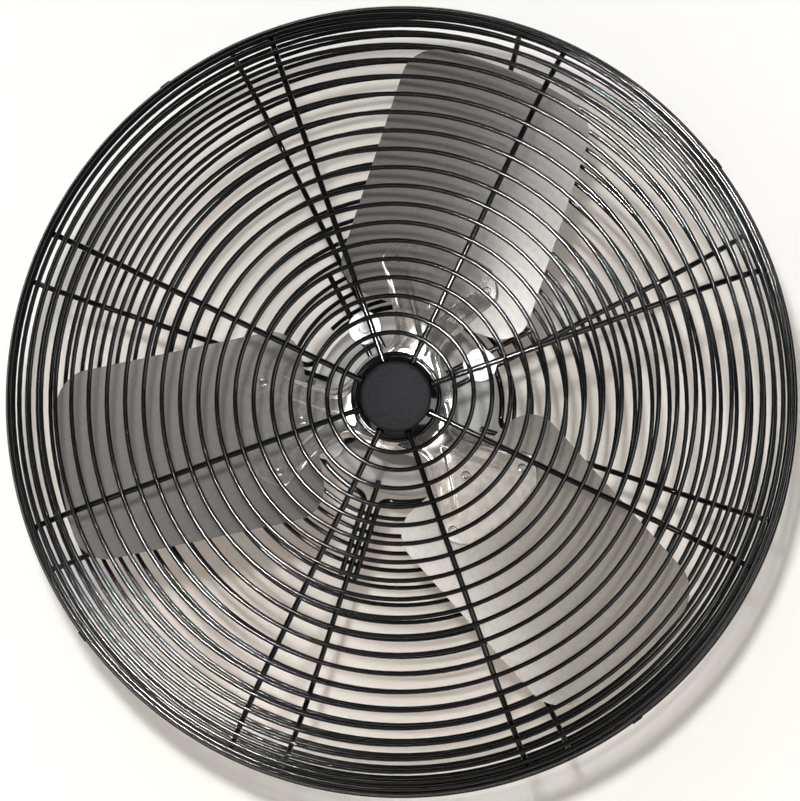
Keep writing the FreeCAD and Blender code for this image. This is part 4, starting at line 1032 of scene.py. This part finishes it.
    def build(self) -> None:
        """Make the pieces of the propeller."""
        turns = [self.angle + 360.0 * k / self.count for k in range(self.count)]
        for number, angle in enumerate(turns, start=1):
            sheets = [sheet.turned(angle) for sheet in self.blade()]
            make_piece(f"blade_sheet_{number}", sheets, ROTOR, self.palette.galvanised,
                       (f"blade_{number}",), self.blade_sharpness)
        arms = [sheet.turned(angle) for angle in turns for sheet in self.arm()]
        make_piece("spider_pressing", [self.disc_sheet()] + arms, ROTOR, self.palette.bright_steel,
                   ("spider",), self.spider_sharpness)
        spread = math.radians(self.rivet_spread)
        along, aside = self.outer_rivets * math.cos(spread), self.outer_rivets * math.sin(spread)
        places = [(self.inner_rivet, 0.0), (along, aside), (along, -aside)]
        rivets = [self.rivet(*place).turned(angle) for angle in turns for place in places]
        make_piece("round_head_rivets", rivets, ROTOR, self.palette.burnished_zinc,
                   ("blade_rivets",))


@dataclass
class Motor:
    """The motor's casing that shows through the basket."""

    palette: Palette
    slot: str = "grey_enamel"
    radius: float = 82.5
    face: float = -150.0
    bell: float = 45.0
    bell_edge: float = 6.0
    bell_wall: float = 4.0
    bell_web: float = 12.0
    bell_chamfer: float = 0.6
    shaft_hole: float = 14.0
    seat_radius: float = 20.0
    seat_depth: float = 5.0
    boss_radius: float = 28.0
    boss_depth: float = 17.0
    shell_wall: float = 2.0
    seam: float = 0.5
    segments: int = 128

    def front_bell(self) -> Sheet:
        """The front bell: a flat face round the shaft's hole, a rounded edge, the side and the boss inside.

        Returns:
            The bell's grid.
        """
        y, cut, flat = self.face, self.bell_chamfer, self.radius - self.bell_edge
        rim, inside = y + self.bell, self.radius - self.bell_wall
        hole, web = self.shaft_hole, y + self.bell_web
        outline = [(hole, y + self.seat_depth), (hole, y + cut), (hole + cut, y), (flat, y)]
        outline += fillet((flat, y + self.bell_edge), self.bell_edge, -90, 0)
        outline += [(self.radius, rim - cut), (self.radius - cut, rim), (inside, rim), (inside, web)]
        outline += [(self.boss_radius, web), (self.boss_radius, y + self.boss_depth)]
        outline += [(self.seat_radius, y + self.boss_depth), (self.seat_radius, y + self.seat_depth)]
        return spun(outline, self.segments)

    def shell(self) -> Sheet:
        """The rolled shell between the bells, with a small chamfer at each seam.

        Returns:
            The shell's grid.
        """
        low, high = self.face + self.bell, -self.bell
        inside, seam = self.radius - self.shell_wall, self.seam
        outline = [(inside, low), (self.radius - seam, low), (self.radius, low + seam)]
        outline += [(self.radius, high - seam), (self.radius - seam, high), (inside, high)]
        return spun(outline, self.segments)

    def build(self) -> None:
        """Make the pieces of the casing."""
        enamel = self.palette.enamel
        make_piece("front_bell_casting", [self.front_bell()], ROOT, enamel, ("motor_front_bell",))
        make_piece("rolled_motor_shell", [self.shell()], ROOT, enamel, ("motor_shell",))


@dataclass(frozen=True)
class Lamp:
    """A soft panel of light, in metres and watts. It faces the fan where it names no other way."""

    name: str
    place: Triple
    size: Pair
    watts: float
    rays: Rays
    facing: Triple | None = None

    def build(self, aim: Triple) -> None:
        """Add the lamp to the scene. One for reflections adds no bounced light.

        Args:
            aim: The middle of the fan.
        """
        data = bpy.data.lights.new(self.name, "AREA")
        data.shape = "RECTANGLE"
        data.size, data.size_y = self.size
        data.energy = self.watts
        if self.rays is Rays.REFLECTIONS:
            data.cycles.max_bounces = 0
        lamp = bpy.data.objects.new(self.name, data)
        lamp.location = self.place
        lamp.visible_diffuse, lamp.visible_glossy = self.rays.value
        way = Vector(self.facing) if self.facing else Vector(aim) - Vector(self.place)
        lamp.rotation_euler = way.to_track_quat("-Z", "Y").to_euler()
        bpy.context.scene.collection.objects.link(lamp)
        LOG.info("%s: lamp", self.name)


@dataclass
class Studio:
    """Camera, soft lights and the pale sheet behind and below the fan. Lengths are in metres."""

    aim: Triple = (0.0, -0.2455, 0.0)
    distance: float = 2.7
    azimuth: float = 2.1
    elevation: float = -2.0
    frame_width: float = 0.697
    sensor_mm: float = 36.0
    view_end: float = 50.0
    wall_y: float = 0.032
    wall_top: float = 4.0
    floor_z: float = -0.9
    floor_front: float = -5.0
    half_width: float = 4.0
    cove: float = 0.5
    floor_edge: float = 0.1
    floor_tone: str = "#e2d9ce"
    wall_tone: str = "#fdfdfc"
    # Painted shade behind the fan: within this radius of the middle the paper is a little darker and warmer,
    # and it blends into the wall's tone over the edge.
    painted_shade_tone: str = "#f8f3ec"
    painted_shade_radius: float = 0.33
    painted_shade_edge: float = 0.06
    paper_roughness: float = 0.9
    room_tone: str = "#dcdad7"
    room_lean: Triple = (-0.7, 0.0, 0.7)
    lean_range: Pair = (-0.3, 0.7)
    dark_side: float = 0.14
    light_side: float = 0.45
    lamps: tuple[Lamp, ...] = (
        Lamp("fill", (-0.3, -2.6, 0.9), (2.2, 2.2), 17.0, Rays.SHADING),
        Lamp("key", (-0.03, -3.0, 0.22), (0.1, 0.1), 51.0, Rays.SHADING),
        Lamp("spark", (0.045, -3.0, 0.25), (0.12, 0.12), 100.0, Rays.REFLECTIONS),
        Lamp("panel_right", (0.62, -1.6, -0.28), (0.6, 0.6), 11.5, Rays.REFLECTIONS, (0.0, 1.0, 0.0)),
        Lamp("panel_low", (-0.5, -1.6, -0.56), (0.45, 0.4), 2.6, Rays.REFLECTIONS, (0.0, 1.0, 0.0)),
        Lamp("panel_floor", (-0.58, -1.0, -0.74), (0.6, 0.4), 0.4, Rays.REFLECTIONS),
        Lamp("fill_behind", (0.4, 2.4, 0.9), (2.2, 2.2), 34.0, Rays.SHADING),
    )

    def camera(self) -> None:
        """A long lens at the photograph's distance, aimed at the middle of the rim."""
        data = bpy.data.cameras.new("camera")
        data.sensor_fit = "HORIZONTAL"
        data.sensor_width = self.sensor_mm
        data.lens = self.sensor_mm * self.distance / self.frame_width
        data.clip_end = self.view_end
        eye = bpy.data.objects.new("camera", data)
        a, e = math.radians(self.azimuth), math.radians(self.elevation)
        away = Vector((math.sin(a) * math.cos(e), -math.cos(a) * math.cos(e), math.sin(e)))
        aim = Vector(self.aim)
        eye.location = aim + away * self.distance
        eye.rotation_euler = (aim - eye.location).to_track_quat("-Z", "Y").to_euler()
        bpy.context.scene.collection.objects.link(eye)
        bpy.context.scene.camera = eye

    def paper(self) -> Material:
        """Pale paper: warm on the floor, white above and around the fan, and a little darker and warmer
        behind it as painted shade.

        Returns:
            The material, on Object coordinates.
        """
        paper = bpy.data.materials.new("pale backdrop paper")
        paper.use_nodes = True
        tree = paper.node_tree
        place = add_node(tree, "ShaderNodeTexCoord").outputs["Object"]
        height = add_node(tree, "ShaderNodeSeparateXYZ", links={"Vector": place}).outputs["Z"]
        rise = add_node(tree, "ShaderNodeMapRange", {
            "From Min": self.floor_z + self.floor_edge, "From Max": self.floor_z + self.cove,
        }, {"Value": height})
        upright = add_node(tree, "ShaderNodeMix", {
            "data_type": "RGBA", MIX_FIRST: linear(self.floor_tone), MIX_SECOND: linear(self.wall_tone),
        }, {MIX_SHARE: rise.outputs["Result"]})
        # Painted shade: near the fan's middle the paper takes the darker, warmer shade tone instead of the
        # wall's.
        away = add_node(tree, "ShaderNodeVectorMath", {"operation": "LENGTH"}, {0: place}).outputs["Value"]
        outside = add_node(tree, "ShaderNodeMapRange", {
            "From Min": self.painted_shade_radius, "From Max": self.painted_shade_radius + self.painted_shade_edge,
        }, {"Value": away})
        tones = add_node(tree, "ShaderNodeMix", {"data_type": "RGBA", MIX_FIRST: linear(self.painted_shade_tone)}, {
            MIX_SHARE: outside.outputs["Result"], MIX_SECOND: upright.outputs[MIX_RESULT]})
        shader = tree.nodes["Principled BSDF"]
        tree.links.new(tones.outputs[MIX_RESULT], shader.inputs["Base Color"])
        shader.inputs["Roughness"].default_value = self.paper_roughness
        # The sheet is seen from the fan's side only, and room light from behind passes through it.
        unseen = add_node(tree, "ShaderNodeMath", {"operation": "MAXIMUM"}, {
            0: add_node(tree, "ShaderNodeNewGeometry").outputs["Backfacing"],
            1: add_node(tree, "ShaderNodeLightPath").outputs["Is Shadow Ray"]})
        sides = add_node(tree, "ShaderNodeMixShader", links={
            0: unseen.outputs["Value"], 1: shader.outputs["BSDF"],
            2: add_node(tree, "ShaderNodeBsdfTransparent").outputs["BSDF"]})
        tree.links.new(sides.outputs["Shader"], tree.nodes["Material Output"].inputs["Surface"])
        return paper

    def backdrop(self) -> None:
        """A pale sheet: level floor, a quarter-circle cove and an upright wall."""
        turn = np.linspace(0, QUARTER_TURN, 16)
        bend_y = self.wall_y - self.cove + self.cove * np.sin(turn)
        bend_z = self.floor_z + self.cove * (1 - np.cos(turn))
        y = np.concatenate([[self.floor_front], bend_y, [self.wall_y]])
        z = np.concatenate([[self.floor_z], bend_z, [self.wall_top]])
        x = np.array([self.half_width, -self.half_width])
        grid = np.stack(np.broadcast_arrays(x[None, :], y[:, None], z[:, None]), axis=-1)
        mesh = bpy.data.meshes.new("backdrop")
        mesh.from_pydata(grid.reshape(-1, 3).tolist(), [], Sheet(grid).faces().tolist())
        mesh.polygons.foreach_set("use_smooth", np.ones(len(mesh.polygons), dtype=bool))
        mesh.materials.append(self.paper())
        stage = bpy.data.objects.new("backdrop", mesh)
        bpy.context.scene.collection.objects.link(stage)

    def room(self) -> None:
        """The room's own light: dim, and stronger from the upper left."""
        world = bpy.data.worlds.new("soft room")
        world.use_nodes = True
        tree = world.node_tree
        way = add_node(tree, "ShaderNodeTexCoord").outputs["Generated"]
        lean = add_node(tree, "ShaderNodeVectorMath", {
            "operation": "DOT_PRODUCT", 1: self.room_lean}, {0: way})
        level = add_node(tree, "ShaderNodeMapRange", {
            "From Min": self.lean_range[0], "From Max": self.lean_range[1],
            "To Min": self.dark_side, "To Max": self.light_side,
        }, {"Value": lean.outputs["Value"]})
        background = tree.nodes["Background"]
        background.inputs["Color"].default_value = linear(self.room_tone)
        tree.links.new(level.outputs["Result"], background.inputs["Strength"])
        bpy.context.scene.world = world

    def build(self) -> None:
        """Set up the picture."""
        self.camera()
        self.backdrop()
        for lamp in self.lamps:
            lamp.build(self.aim)
        self.room()
        bpy.context.scene.view_settings.view_transform = "Standard"


def main() -> None:
    """Build the fan and its studio."""
    logging.basicConfig(level=logging.INFO, format="%(name)s %(message)s")
    palette = Palette()
    basket = Basket()
    FrontHalf(basket, palette).build()
    RearHalf(basket, palette).build()
    Propeller(palette).build()
    Motor(palette).build()
    palette.dress_solids()
    Studio().build()


if __name__ == "__main__":
    main()
